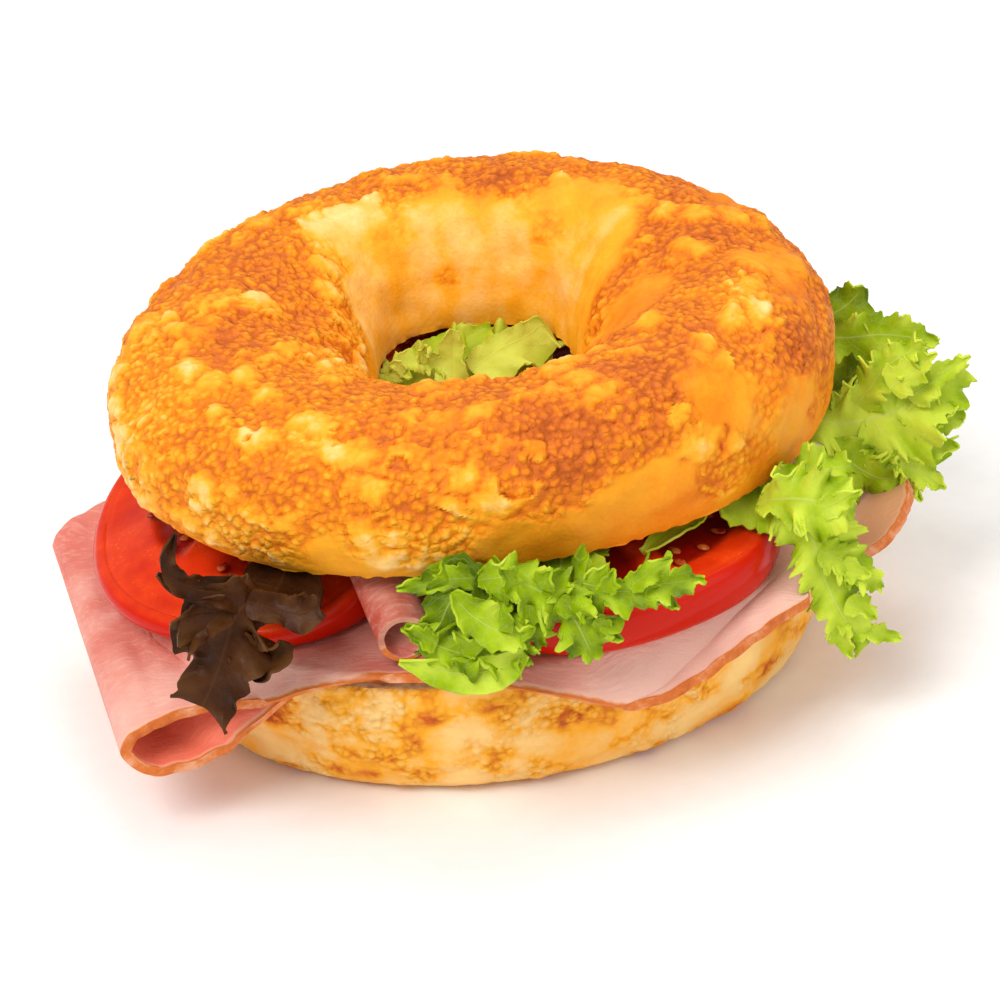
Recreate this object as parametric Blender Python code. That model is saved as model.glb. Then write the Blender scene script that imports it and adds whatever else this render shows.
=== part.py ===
"""A filled bagel: two halves of a cheese bagel with ham, tomato slices and salad leaves between them.

Metres, +Z up. The sandwich stands on its flat base, with the origin under the middle of its outline.
Lengths and places are written in millimetres and turned into metres by MM and at().
"""

import math

import bpy
from mathutils import Vector, noise

MM = 0.001

# The bagel
BAGEL_RADIUS = 58.5 * MM        # a bagel 117 mm across
BASE_RADIUS = 50.6 * MM         # flat underside that it was baked on
CUT_RADIUS = 56.8 * MM          # lower half, at its cut face
BELLY = 1.4 * MM                # how far the lower half's side swells out
BOTTOM_HEIGHT = 22.5 * MM       # lower half, base to cut face
FILLING_HEIGHT = 18.1 * MM      # between the two cut faces
TOP_HEIGHT = 21.2 * MM          # upper half, cut face to crest
SHOULDER_HEIGHT = 7.7 * MM      # upper half, cut face to its widest level
CREST_RADIUS = 41.0 * MM        # the ring that runs along the highest line
HOLE_WIDTH = 33.0 * MM          # left to right, at the upper cut face
HOLE_DEPTH = 41.0 * MM          # front to back, at the upper cut face
HOLE_SHIFT = 4.5 * MM           # the hole lies a little towards the back
BOTTOM_HOLE_RADIUS = 15.0 * MM
BOTTOM_SHIFT = (-0.4 * MM, -2.2 * MM)   # the lower half lies a little to the front
CRUST_RELIEF = 0.55 * MM        # melted cheese crumbs on the crust
CRUST_GRAIN = 9.0 * MM          # width of one such crumb patch

# Fillings
GAP = 0.3 * MM                  # between things that lie on each other
HAM_THICKNESS = 1.7 * MM
TOMATO_THICKNESS = 9.0 * MM
LEAF_THICKNESS = 0.8 * MM

# Levels, from the base up
CUT_LEVEL = BOTTOM_HEIGHT
LOWER_HAM_LEVEL = CUT_LEVEL + GAP + HAM_THICKNESS / 2
UPPER_HAM_LEVEL = LOWER_HAM_LEVEL + HAM_THICKNESS + GAP
TOMATO_LEVEL = UPPER_HAM_LEVEL + HAM_THICKNESS / 2 + GAP
TOP_LEVEL = CUT_LEVEL + FILLING_HEIGHT
LEAF_LOW = TOMATO_LEVEL + TOMATO_THICKNESS + GAP + LEAF_THICKNESS / 2
LEAF_HIGH = TOP_LEVEL - GAP - LEAF_THICKNESS / 2


def at(x, y, z):
    """A place in millimetres, from the middle of the bagel's base."""
    return Vector((x, y, z)) * MM


def clear_scene():
    """Start from an empty scene."""
    for item in list(bpy.data.objects):
        bpy.data.objects.remove(item)


def finish_of(name, colour, roughness):
    """A plain food material."""
    material = bpy.data.materials.new(name)
    material.use_nodes = True
    shader = material.node_tree.nodes["Principled BSDF"]
    shader.inputs["Base Color"].default_value = (*colour, 1.0)
    shader.inputs["Roughness"].default_value = roughness
    shader.inputs["Metallic"].default_value = 0.0
    return material


def add_piece(name, points, triangles, colour, roughness):
    """One piece of food from its points and triangles."""
    mesh = bpy.data.meshes.new(name)
    mesh.from_pydata([tuple(point) for point in points], [], triangles)
    mesh.update()
    mesh.shade_smooth()
    mesh.set_sharp_from_angle(angle=math.radians(50))
    mesh.materials.append(finish_of(name, colour, roughness))
    piece = bpy.data.objects.new(name, mesh)
    bpy.context.scene.collection.objects.link(piece)
    return piece


def superellipse(turn, power):
    """Cosine and sine of an angle, squared off by a power above 2."""
    across = math.copysign(abs(math.cos(turn)) ** (2 / power), math.cos(turn))
    along = math.copysign(abs(math.sin(turn)) ** (2 / power), math.sin(turn))
    return across, along


def smooth_step(low, high, value):
    """0 below low, 1 above high, smooth between."""
    part = min(max((value - low) / (high - low), 0.0), 1.0)
    return part * part * (3 - 2 * part)


def spline(points, part):
    """A smooth curve through points, at part 0 to 1 of their number."""
    last = len(points) - 1
    place = min(max(part, 0.0), 1.0) * last
    index = min(int(place), last - 1)
    step = place - index
    before = points[max(index - 1, 0)]
    start = points[index]
    end = points[index + 1]
    after = points[min(index + 2, last)]
    out = (end - before) * 0.5
    into = (after - start) * 0.5
    return (start * (2 * step ** 3 - 3 * step ** 2 + 1) + out * (step ** 3 - 2 * step ** 2 + step)
            + end * (3 * step ** 2 - 2 * step ** 3) + into * (step ** 3 - step ** 2))


# Bagel halves

def uneven_radius(angle):
    """How far the hand-shaped ring leaves a true circle."""
    waves = ((1, -1.0, 0.85), (2, 0.16, 1.14), (3, 0.7, -2.0))
    swell = sum(a * math.cos(k * angle) + b * math.sin(k * angle) for k, a, b in waves)
    flat_back = 2.0 * math.exp(-((angle - math.radians(92)) / math.radians(50)) ** 2)
    return (swell - flat_back) * MM


def hole_radius(angle):
    """Distance from the bagel's middle to the hole's edge at the upper cut face."""
    power = 2.8
    direction = Vector((math.cos(angle), math.sin(angle)))
    near, far = 0.0, HOLE_DEPTH
    for _ in range(40):
        middle = (near + far) / 2
        across = abs(direction.x * middle) / (HOLE_WIDTH / 2)
        along = abs(direction.y * middle - HOLE_SHIFT) / (HOLE_DEPTH / 2)
        if across ** power + along ** power < 1:
            near = middle
        else:
            far = middle
    return near


def crust(point, outward, strength):
    """A point moved along its outward direction by the cheese relief."""
    coarse = noise.noise(point / CRUST_GRAIN)
    fine = noise.noise(point / (CRUST_GRAIN * 0.45) + Vector((7, 3, 1)))
    return point + outward * CRUST_RELIEF * strength * (coarse + 0.6 * fine)


def ring_solid(name, sections, colour, roughness):
    """A closed ring from equal sections, each a closed loop of points."""
    count = len(sections)
    size = len(sections[0])
    points = [point for section in sections for point in section]
    triangles = []
    for i in range(count):
        j = (i + 1) % count
        for k in range(size):
            n = (k + 1) % size
            a, b = i * size + k, j * size + k
            c, d = j * size + n, i * size + n
            triangles += [(a, b, c), (a, c, d)]
    return add_piece(name, points, triangles, colour, roughness)


def top_section(angle, outer_steps, inner_steps):
    """One slice of the upper half, from its outer cut edge over the crest to the hole."""
    outer = BAGEL_RADIUS + uneven_radius(angle)
    hole = hole_radius(angle)
    rise = (TOP_HEIGHT - SHOULDER_HEIGHT) * (1 + 0.08 * math.cos(angle))
    widest = TOP_LEVEL + SHOULDER_HEIGHT
    direction = Vector((math.cos(angle), math.sin(angle), 0))
    power = 2.3
    start = -math.asin((SHOULDER_HEIGHT / rise) ** (power / 2))
    loop = []
    for k in range(outer_steps):
        turn = start + (math.pi / 2 - start) * k / outer_steps
        across, up = superellipse(turn, power)
        radius = CREST_RADIUS + (outer - CREST_RADIUS) * across
        loop.append((radius, widest + rise * up, across, up))
    height = SHOULDER_HEIGHT + rise
    for k in range(inner_steps + 1):
        turn = math.pi / 2 * (1 - k / inner_steps)
        across, up = superellipse(turn, 2.0)
        radius = CREST_RADIUS - (CREST_RADIUS - hole) * across
        loop.append((radius, TOP_LEVEL + height * up, -across, up))
    section = []
    for radius, level, across, up in loop:
        point = direction * radius + Vector((0, 0, level))
        lift = smooth_step(0.0, 6 * MM, level - TOP_LEVEL)
        outward = (direction * across + Vector((0, 0, up))).normalized()
        section.append(crust(point, outward, 1.6 * lift))
    middle = (section[0] + section[-1]) / 2
    section.append(Vector((middle.x, middle.y, TOP_LEVEL)))
    return section


def bottom_swell(angle):
    """How far the lower half leaves a true circle."""
    return 0.6 * uneven_radius(angle)


def bottom_section(angle, outer_steps, inner_steps):
    """One slice of the lower half, from its base edge up the side and down into the hole."""
    swell = bottom_swell(angle)
    direction = Vector((math.cos(angle), math.sin(angle), 0))
    loop = []
    for k in range(outer_steps + 1):
        rise = k / outer_steps
        belly = math.sin(math.pi * min(rise * 0.9 + 0.1, 1.0)) ** 0.5
        radius = BASE_RADIUS + (CUT_RADIUS - BASE_RADIUS) * rise ** 0.45 + BELLY * belly * rise
        loop.append((radius + swell, BOTTOM_HEIGHT * rise ** 1.25, 1.0))
    inner = BOTTOM_HOLE_RADIUS
    for k in range(inner_steps + 1):
        fall = 1 - k / inner_steps
        flare = 5 * MM * (1 - fall) ** 2
        loop.append((inner + flare, BOTTOM_HEIGHT * fall, -1.0))
    section = []
    for radius, level, side in loop:
        point = direction * radius + Vector((*BOTTOM_SHIFT, level))
        lift = smooth_step(0.0, 4 * MM, level) * smooth_step(0.0, 4 * MM, BOTTOM_HEIGHT - level)
        section.append(crust(point, direction * side, lift))
    return section


def build_buns():
    """Both halves of the bagel."""
    turns = 66
    angles = [2 * math.pi * i / turns for i in range(turns)]
    golden = (0.93, 0.47, 0.10)
    cream = (0.90, 0.62, 0.25)
    ring_solid("bun_top", [top_section(a, 11, 9) for a in angles], golden, 0.5)
    ring_solid("bun_bottom", [bottom_section(a, 6, 2) for a in angles], cream, 0.6)


# Thin slices and leaves

def sheet_solid(name, rows, thickness, colour, roughness):
    """A closed thin solid about a grid of points, both faces split into triangles alike."""
    count = len(rows)
    size = len(rows[0])
    upper, lower = [], []
    for i in range(count):
        for j in range(size):
            along = rows[min(i + 1, count - 1)][j] - rows[max(i - 1, 0)][j]
            across = rows[i][min(j + 1, size - 1)] - rows[i][max(j - 1, 0)]
            normal = along.cross(across).normalized()
            upper.append(rows[i][j] + normal * thickness / 2)
            lower.append(rows[i][j] - normal * thickness / 2)
    shift = count * size
    triangles = []
    for i in range(count - 1):
        for j in range(size - 1):
            a = i * size + j
            b = a + size
            triangles += [(a, b, b + 1), (a, b + 1, a + 1)]
            triangles += [(a + shift, b + 1 + shift, b + shift), (a + shift, a + 1 + shift, b + 1 + shift)]
    rim = [j for j in range(size)]
    rim += [i * size + size - 1 for i in range(1, count)]
    rim += [(count - 1) * size + j for j in range(size - 2, -1, -1)]
    rim += [i * size for i in range(count - 2, 0, -1)]
    for k, a in enumerate(rim):
        b = rim[(k + 1) % len(rim)]
        triangles += [(a, b, b + shift), (a, b + shift, a + shift)]
    return add_piece(name, upper + lower, triangles, colour, roughness)


# Ham

HAM_PINK = (0.80, 0.38, 0.34)

# The large slice is folded back under itself on the left. Each station across it has a place on its
# hidden back edge and one on its front edge, from the tucked end round the fold to the right side.
HAM_BACK = [at(-36, 4, 23.6), at(-50, 3, 23.6), at(-60, 1.5, 21.7), at(-67, -0.5, 20.4),
            at(-70.5, -3, 20.6), at(-72, -5, 22.2), at(-70.5, -2.5, 23.8), at(-66, 1, 24.5),
            at(-58, 7, 25.4), at(-50, 20, 25.6), at(-40, 38, 25.6), at(-24, 51, 25.6), at(-8, 56, 25.6),
            at(8, 56, 25.6), at(22, 52, 25.6), at(34, 44, 25.6), at(42, 36, 25.6), at(48, 29, 25.6),
            at(51, 22, 25.6), at(53, 14, 25.6)]
HAM_FRONT = [at(-32, -54.5, 19.1), at(-38, -55.5, 16.8), at(-44, -56.5, 13.9), at(-50.5, -57.3, 12.0),
             at(-55, -57.8, 12.6), at(-58, -58, 16.2), at(-56, -57.8, 19.2), at(-52, -56.9, 20.8),
             at(-46, -55.4, 21.3), at(-39, -55, 21.3), at(-32, -55.8, 21.2), at(-22, -57.2, 21.9),
             at(-12, -58.6, 22), at(0, -60.4, 20.8), at(12, -61.6, 19.5), at(22, -61.4, 19.5),
             at(30, -59.5, 22), at(36, -56.5, 24.4), at(42, -52, 25.5), at(48, -47, 25.6)]
FOLD_TURN = 5                   # the station on the fold's outer line
DRAPE_START = 1.8 * MM          # how far a slice stays level past the bagel's rim


def past_rim(point):
    """How far a point stands outside the rim of the lower half's cut face."""
    x = point.x - BOTTOM_SHIFT[0]
    y = point.y - BOTTOM_SHIFT[1]
    return math.hypot(x, y) - CUT_RADIUS - bottom_swell(math.atan2(y, x))


def rest_level(point, level):
    """The lowest height of a draped slice there: flat on the bagel, then down past its rim."""
    return level - 1.1 * max(past_rim(point) - DRAPE_START, 0.0)


def rim_share(back, front):
    """Where the line from a slice's back edge to its front edge last leaves the bagel's rim."""
    tries = 40
    for k in range(tries, 0, -1):
        if past_rim(back.lerp(front, k / tries)) < DRAPE_START:
            return min(max(k / tries, 0.3), 0.97)
    return 0.5


def build_ham_fold():
    """The large ham slice: tucked under, folded on the left and draped over the front rim."""
    stations = 44
    inner_steps = 4
    outer_steps = 4
    rows = []
    for i in range(stations + 1):
        part = i / stations
        back = spline(HAM_BACK, part)
        front = spline(HAM_FRONT, part)
        level = LOWER_HAM_LEVEL if part * (len(HAM_BACK) - 1) < FOLD_TURN else UPPER_HAM_LEVEL
        rim = rim_share(back, front)
        shares = [rim * j / inner_steps for j in range(inner_steps)]
        shares += [rim + (1 - rim) * j / outer_steps for j in range(outer_steps + 1)]
        row = []
        for share in shares:
            point = back.lerp(front, share)
            point.z = max(point.z, rest_level(point, level))
            row.append(point)
        rows.append(row)
    return sheet_solid("ham_fold", rows, HAM_THICKNESS, HAM_PINK, 0.35)


def build_ham_right():
    """A second slice below the first, its flap standing out to the right."""
    reach = [(-62, 54), (-50, 56.5), (-41, 59), (-34, 64), (-27, 70), (-18, 71), (-9, 69),
             (-2, 63.5), (8, 56)]
    edge = [Vector((angle, radius, 0)) for angle, radius in reach]
    rows = []
    steps = 16
    for i in range(steps + 1):
        spot = spline(edge, i / steps)
        angle = math.radians(spot.x)
        direction = Vector((math.cos(angle), math.sin(angle), 0))
        row = []
        for j in range(6):
            radius = 24 + (spot.y - 24) * (j / 5) ** 0.7
            beyond = max(radius - 60.0, 0.0)
            curl = 0.025 * beyond ** 2 + 0.5 * beyond / 11 * math.sin(spot.x / 4)
            row.append(direction * radius * MM + Vector((0, 0, LOWER_HAM_LEVEL + curl * MM)))
        rows.append(row)
    rows.reverse()
    return sheet_solid("ham_right", rows, HAM_THICKNESS, (0.82, 0.45, 0.30), 0.35)


def build_ham_roll():
    """A rolled slice, round and open at the front, pressed flat where it runs back under the bagel."""
    mouth = at(-14.0, -57.5, 31.7)
    tail = at(-18.3, -44.5, 37.6)
    turns = 1.25
    outer = 4.7 * MM
    inner = 2.6 * MM
    flattened = 0.5
    around_steps = 22
    along_steps = 3
    rows = []
    for i in range(around_steps + 1):
        part = i / around_steps
        angle = math.radians(200) + 2 * math.pi * turns * part
        radius = outer + (inner - outer) * part
        row = []
        for j in range(along_steps + 1):
            along = j / along_steps
            squeeze = 1 - (1 - flattened) * along
            offset = Vector((math.cos(angle), 0, math.sin(angle) * squeeze)) * radius
            row.append(mouth.lerp(tail, along) + offset)
        rows.append(row)
    return sheet_solid("ham_roll", rows, 0.8 * MM, (0.85, 0.36, 0.28), 0.35)


# Tomato slices

def build_tomato(name, middle, radius, pressed, pressed_depth, seed):
    """A thick slice with a rounded skin edge, flattened a little on the side that meets its neighbour."""
    turns = 36
    half = TOMATO_THICKNESS / 2
    edge_steps = 4
    points = [middle + Vector((0, 0, half)), middle - Vector((0, 0, half))]
    for i in range(turns):
        angle = 2 * math.pi * i / turns
        direction = Vector((math.cos(angle), math.sin(angle), 0))
        wobble = 0.5 * MM * math.sin(3 * angle + seed) + 0.35 * MM * math.sin(5 * angle + 2 * seed)
        facing = max(math.cos(angle - math.radians(pressed)), 0.0)
        reach = radius + wobble - pressed_depth * facing ** 2
        for k in range(edge_steps + 1):
            turn = math.pi * (k / edge_steps - 0.5)
            bulge = reach - 2.2 * MM * (1 - math.cos(turn) ** 0.8)
            points.append(middle + direction * bulge - Vector((0, 0, half * math.sin(turn))))
    size = edge_steps + 1
    triangles = []
    for i in range(turns):
        a = 2 + i * size
        b = 2 + (i + 1) % turns * size
        triangles.append((0, a, b))
        for k in range(edge_steps):
            triangles += [(a + k, a + k + 1, b + k + 1), (a + k, b + k + 1, b + k)]
        triangles.append((1, b + edge_steps, a + edge_steps))
    return add_piece(name, points, triangles, (0.75, 0.03, 0.01), 0.2)


def build_tomatoes():
    """Three slices: left, right and one at the back."""
    level = TOMATO_LEVEL / MM + TOMATO_THICKNESS / MM / 2
    build_tomato("tomato_left", at(-33.5, -18.5, level), 31.2 * MM, -5, 7.6 * MM, 0.4)
    build_tomato("tomato_right", at(15, -28.8, level), 30.4 * MM, 175, 7.6 * MM, 1.9)
    build_tomato("tomato_back", at(9, 34, level), 28.5 * MM, -90, 1.5 * MM, 3.1)


# Salad leaves

TOWARDS_FRONT = Vector((0.0, -0.86, 0.51))
UPWARDS = Vector((0.0, 0.0, 1.0))


def pressed(point):
    """A leaf's point, held between the tomato and the upper half where it lies inside the sandwich."""
    reach = math.hypot(point.x, point.y)
    angle = math.atan2(point.y, point.x) % (2 * math.pi)
    rim = uneven_radius(angle) + CUT_RADIUS
    hole = hole_radius(angle)
    inside = 1 - smooth_step(rim + 0.5 * MM, rim + 4 * MM, reach)
    inside *= smooth_step(hole - 3.5 * MM, hole - 0.5 * MM, reach)
    level = min(max(point.z, LEAF_LOW), LEAF_HIGH)
    return Vector((point.x, point.y, point.z + (level - point.z) * inside))


def leaf_rows(spine, faces, half_width, shape, steps, side_steps):
    """The middle surface of a lobed, frilled leaf along its rib.

    spine and faces give the rib's places and the directions that the blade faces there. shape holds
    lobes (how many a side), cut (how deep between lobes), sweep (how far lobes lean to the tip), frill
    and waves (height and number of the margin's waves), cup (how far the margins rise) and start.
    """
    rows = []
    for i in range(steps + 1):
        part = i / steps
        place = spline(spine, part)
        ahead = spline(spine, min(part + 0.02, 1.0)) - spline(spine, max(part - 0.02, 0.0))
        ahead.normalize()
        face = spline(faces, part)
        side = ahead.cross(face).normalized()
        normal = side.cross(ahead)
        outline = (math.sin(math.pi * (0.08 + 0.88 * part ** shape["full"]))) ** 0.75
        row = []
        for j in range(-side_steps, side_steps + 1):
            across = j / side_steps
            phase = shape["start"] + (0.9 if across > 0 else 0.0)
            wave = abs(2 * ((shape["lobes"] * part + phase) % 1.0) - 1)
            notch = 1 - shape["cut"] * wave * abs(across) ** 0.7
            width = half_width * outline * notch
            lean = shape["sweep"] * half_width * abs(across) ** 1.5 * notch
            ripple = math.sin(2 * math.pi * (shape["waves"] * part + phase * 1.7))
            lift = shape["frill"] * abs(across) ** 1.6 * ripple + shape["cup"] * across ** 2
            row.append(pressed(place + side * across * width + ahead * lean + normal * lift * MM))
        rows.append(row)
    return rows


LEAF_GREEN = (0.40, 0.62, 0.05)
LEAF_PALE = (0.62, 0.72, 0.25)
LEAF_RED = (0.09, 0.035, 0.015)

OUTWARDS = Vector((0.0, -0.5, 0.8))
LEAVES = {
    "leaf_right_back": dict(
        spine=[at(20, 24, 38), at(34, 20, 38.3), at(46, 17, 38.2), at(55, 16, 38.2), at(62, 16, 39.5),
               at(70, 16, 37.5), at(77, 15, 33.5)],
        faces=[UPWARDS, UPWARDS, UPWARDS, OUTWARDS, TOWARDS_FRONT, TOWARDS_FRONT, TOWARDS_FRONT],
        half_width=7.5 * MM, colour=LEAF_GREEN, steps=27,
        shape=dict(lobes=5.0, cut=0.5, sweep=0.3, frill=1.4, waves=5.0, cup=1.0, start=0.1, full=0.8)),
    "leaf_right_mid": dict(
        spine=[at(20, 1, 38), at(34, -3, 38.3), at(46, -9, 38), at(56, -11, 37.5), at(63, -12, 36),
               at(70, -11, 37), at(76, -9, 41)],
        faces=[UPWARDS, UPWARDS, UPWARDS, OUTWARDS, TOWARDS_FRONT, TOWARDS_FRONT, TOWARDS_FRONT],
        half_width=11.0 * MM, colour=LEAF_GREEN, steps=29,
        shape=dict(lobes=5.5, cut=0.5, sweep=0.3, frill=1.7, waves=6.0, cup=-1.0, start=0.35, full=1.0)),
    "leaf_right_low": dict(
        spine=[at(24, -20, 38), at(39, -32, 38.3), at(46, -38, 38), at(53, -43, 35), at(57, -46, 27.5),
               at(59, -45, 20), at(61, -43, 13.5)],
        faces=[UPWARDS, UPWARDS, Vector((0.3, -0.5, 0.8)), Vector((0.5, -0.8, 0.4)),
               Vector((0.5, -0.8, 0.3)), Vector((0.5, -0.8, 0.3)), Vector((0.5, -0.8, 0.4))],
        half_width=8.5 * MM, colour=LEAF_GREEN, steps=29,
        shape=dict(lobes=5.5, cut=0.5, sweep=0.3, frill=1.3, waves=6.0, cup=-0.8, start=0.2, full=0.75)),
    "leaf_front_left": dict(
        spine=[at(-10, -34, 38.2), at(-7, -46, 38.4), at(-6, -55, 38), at(-8, -62, 36),
               at(-7, -65.5, 32), at(-10, -66.5, 29)],
        faces=[UPWARDS, UPWARDS, OUTWARDS, TOWARDS_FRONT, TOWARDS_FRONT, TOWARDS_FRONT],
        half_width=7.5 * MM, colour=LEAF_GREEN, steps=24,
        shape=dict(lobes=4.0, cut=0.5, sweep=0.3, frill=1.2, waves=5.0, cup=1.0, start=0.5, full=0.9)),
    "leaf_front_mid": dict(
        spine=[at(2.5, -50, 37.6), at(3, -57, 37.4), at(3.5, -63, 34.5), at(5, -65.5, 30)],
        faces=[UPWARDS, OUTWARDS, TOWARDS_FRONT, TOWARDS_FRONT],
        half_width=4.0 * MM, colour=LEAF_GREEN, steps=16,
        shape=dict(lobes=2.5, cut=0.4, sweep=0.3, frill=1.0, waves=3.0, cup=-1.0, start=0.1, full=0.9)),
    "leaf_front_right": dict(
        spine=[at(15, -34, 38.2), at(11, -46, 38.4), at(10.5, -57, 38.2), at(13, -63.5, 36),
               at(20, -65, 35.7), at(29, -64.5, 38.5)],
        faces=[UPWARDS, UPWARDS, OUTWARDS, TOWARDS_FRONT, TOWARDS_FRONT, TOWARDS_FRONT],
        half_width=6.5 * MM, colour=LEAF_GREEN, steps=26,
        shape=dict(lobes=5.0, cut=0.6, sweep=0.35, frill=1.0, waves=5.0, cup=0.8, start=0.2, full=0.8)),
    "leaf_red": dict(
        spine=[at(-28, -33, 38.2), at(-32, -42, 38.4), at(-36, -50.5, 38.6), at(-39, -57, 36.5),
               at(-41, -59.5, 31.5), at(-44.5, -61, 26.5)],
        faces=[UPWARDS, UPWARDS, OUTWARDS, TOWARDS_FRONT, TOWARDS_FRONT, TOWARDS_FRONT],
        half_width=11.0 * MM, colour=LEAF_RED, steps=26,
        shape=dict(lobes=3.2, cut=0.65, sweep=0.3, frill=0.9, waves=3.0, cup=-0.6, start=0.05, full=0.95)),
    "leaf_back": dict(
        spine=[at(2, 34, 38.2), at(-5, 44, 38.2), at(-12, 54, 38), at(-19, 62, 35.5), at(-24, 66, 31)],
        faces=[UPWARDS, UPWARDS, Vector((-0.2, 0.4, 0.8)), Vector((-0.3, 0.8, 0.5)),
               Vector((-0.3, 0.8, 0.5))],
        half_width=10.0 * MM, colour=LEAF_GREEN, steps=22, side_steps=2,
        shape=dict(lobes=4.0, cut=0.5, sweep=0.3, frill=1.5, waves=5.0, cup=0.8, start=0.3, full=0.9)),
    "leaf_back_left": dict(
        spine=[at(-26, 20, 38.2), at(-38, 30, 38.2), at(-48, 38, 38), at(-53, 41, 36.5), at(-56, 43, 33)],
        faces=[UPWARDS, UPWARDS, Vector((-0.4, 0.4, 0.8)), Vector((-0.6, 0.6, 0.5)),
               Vector((-0.6, 0.6, 0.5))],
        half_width=9.0 * MM, colour=LEAF_GREEN, steps=20, side_steps=2,
        shape=dict(lobes=3.5, cut=0.5, sweep=0.3, frill=1.5, waves=4.0, cup=-0.8, start=0.6, full=0.9)),
    "leaf_hole": dict(
        spine=[at(-21, 6, 37.8), at(-12, 8, 38), at(-4, 12, 38.6), at(4, 14, 38.6), at(13, 15, 37.8)],
        faces=[Vector((0, -0.3, 0.9))] * 5,
        half_width=9.0 * MM, colour=LEAF_PALE, steps=24,
        shape=dict(lobes=4.0, cut=0.35, sweep=0.1, frill=1.0, waves=4.0, cup=0.6, start=0.0, full=1.0)),
    "leaf_peek": dict(
        spine=[at(34, -36, 37.6), at(29, -41, 37.5), at(23, -47, 37)],
        faces=[UPWARDS] * 3,
        half_width=2.6 * MM, colour=LEAF_PALE, steps=10, side_steps=1,
        shape=dict(lobes=1.0, cut=0.2, sweep=0.1, frill=0.3, waves=1.0, cup=0.4, start=0.5, full=0.9)),
}


def build_leaves():
    """Every salad leaf as a thin wavy solid."""
    for name, leaf in LEAVES.items():
        rows = leaf_rows(leaf["spine"], leaf["faces"], leaf["half_width"], leaf["shape"],
                         leaf["steps"], leaf.get("side_steps", 3))
        sheet_solid(name, rows, LEAF_THICKNESS, leaf["colour"], 0.4)


# Placing

def stand_on_origin():
    """Hang every piece on one empty that brings the middle of the outline's base to the origin."""
    pieces = [item for item in bpy.data.objects if item.type == "MESH"]
    corners = [vertex.co for piece in pieces for vertex in piece.data.vertices]
    low = [min(corner[axis] for corner in corners) for axis in range(3)]
    high = [max(corner[axis] for corner in corners) for axis in range(3)]
    stand = bpy.data.objects.new("sandwich", None)
    bpy.context.scene.collection.objects.link(stand)
    for piece in pieces:
        piece.parent = stand
    stand.location = (-(low[0] + high[0]) / 2, -(low[1] + high[1]) / 2, -low[2])


def main():
    """Build the sandwich."""
    clear_scene()
    build_buns()
    build_ham_fold()
    build_ham_right()
    build_ham_roll()
    build_tomatoes()
    build_leaves()
    stand_on_origin()


main()
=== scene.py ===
"""Looks of a filled bagel sandwich: cheese-crusted bagel halves, ham, tomato slices and salad leaves.

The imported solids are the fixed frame. Each piece of food is modelled again here in fine detail, from
the same sizes and in the same place, and stands for its solid. Pieces are modelled about the middle
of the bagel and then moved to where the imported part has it.
"""

import math
from functools import partial

import bpy
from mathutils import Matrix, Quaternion, Vector, noise


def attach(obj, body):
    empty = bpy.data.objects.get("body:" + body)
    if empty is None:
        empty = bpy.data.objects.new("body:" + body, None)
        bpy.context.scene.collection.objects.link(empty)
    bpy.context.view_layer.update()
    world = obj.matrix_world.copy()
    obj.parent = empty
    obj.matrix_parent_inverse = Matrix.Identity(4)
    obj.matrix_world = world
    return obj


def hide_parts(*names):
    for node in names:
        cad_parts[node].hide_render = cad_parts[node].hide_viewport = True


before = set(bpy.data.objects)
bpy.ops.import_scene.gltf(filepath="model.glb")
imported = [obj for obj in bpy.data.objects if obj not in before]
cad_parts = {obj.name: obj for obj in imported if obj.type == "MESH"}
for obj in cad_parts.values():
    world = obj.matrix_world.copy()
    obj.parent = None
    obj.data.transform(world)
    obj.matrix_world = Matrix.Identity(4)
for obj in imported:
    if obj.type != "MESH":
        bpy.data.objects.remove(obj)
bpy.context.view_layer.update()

bl_info = {
    "name": "Bagel Sandwich Looks",
    "version": (1, 0, 0),
    "blender": (4, 5, 0),
    "location": "3D View > Sidebar > Sandwich",
    "description": "Models and finishes a bagel filled with ham, tomato and salad leaves",
    "category": "Object",
}

MM = 0.001
BODY = "root"
MIDDLE = Vector((-3.611, -0.282, 0.0)) * MM     # the bagel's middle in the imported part

# Levels from the base up, as in the solids
BOTTOM_HEIGHT = 22.5 * MM
FILLING_HEIGHT = 18.1 * MM
GAP = 0.3 * MM
HAM_SOLID = 1.7 * MM
TOMATO_SOLID = 9.0 * MM
LEAF_SOLID = 0.8 * MM
LOWER_HAM_LEVEL = BOTTOM_HEIGHT + GAP + HAM_SOLID / 2
UPPER_HAM_LEVEL = LOWER_HAM_LEVEL + HAM_SOLID + GAP
TOMATO_LEVEL = UPPER_HAM_LEVEL + HAM_SOLID / 2 + GAP
TOP_LEVEL = BOTTOM_HEIGHT + FILLING_HEIGHT
LEAF_LOW = TOMATO_LEVEL + TOMATO_SOLID + GAP + LEAF_SOLID / 2
LEAF_HIGH = TOP_LEVEL - GAP - LEAF_SOLID / 2

# Sizes of the halves that the property groups leave alone
BASE_RADIUS = 50.6 * MM
CUT_RADIUS = 56.8 * MM
BELLY = 1.4 * MM
TOP_HEIGHT = 21.2 * MM
SHOULDER_HEIGHT = 7.7 * MM
CREST_RADIUS = 41.0 * MM
HOLE_WIDTH = 33.0 * MM
HOLE_DEPTH = 41.0 * MM
HOLE_SHIFT = 4.5 * MM
BOTTOM_HOLE_RADIUS = 15.0 * MM
BOTTOM_SHIFT = Vector((-0.4, -2.2, 0.0)) * MM
CRUST_RELIEF = 0.55 * MM
CRUST_GRAIN = 9.0 * MM
CRUST_SEED = 5        # of the vector noise that pulls crumbs and patches about

# Points nearer than this are made one
BUN_WELD = 0.001 * MM
TOMATO_WELD = 0.004 * MM


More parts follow.
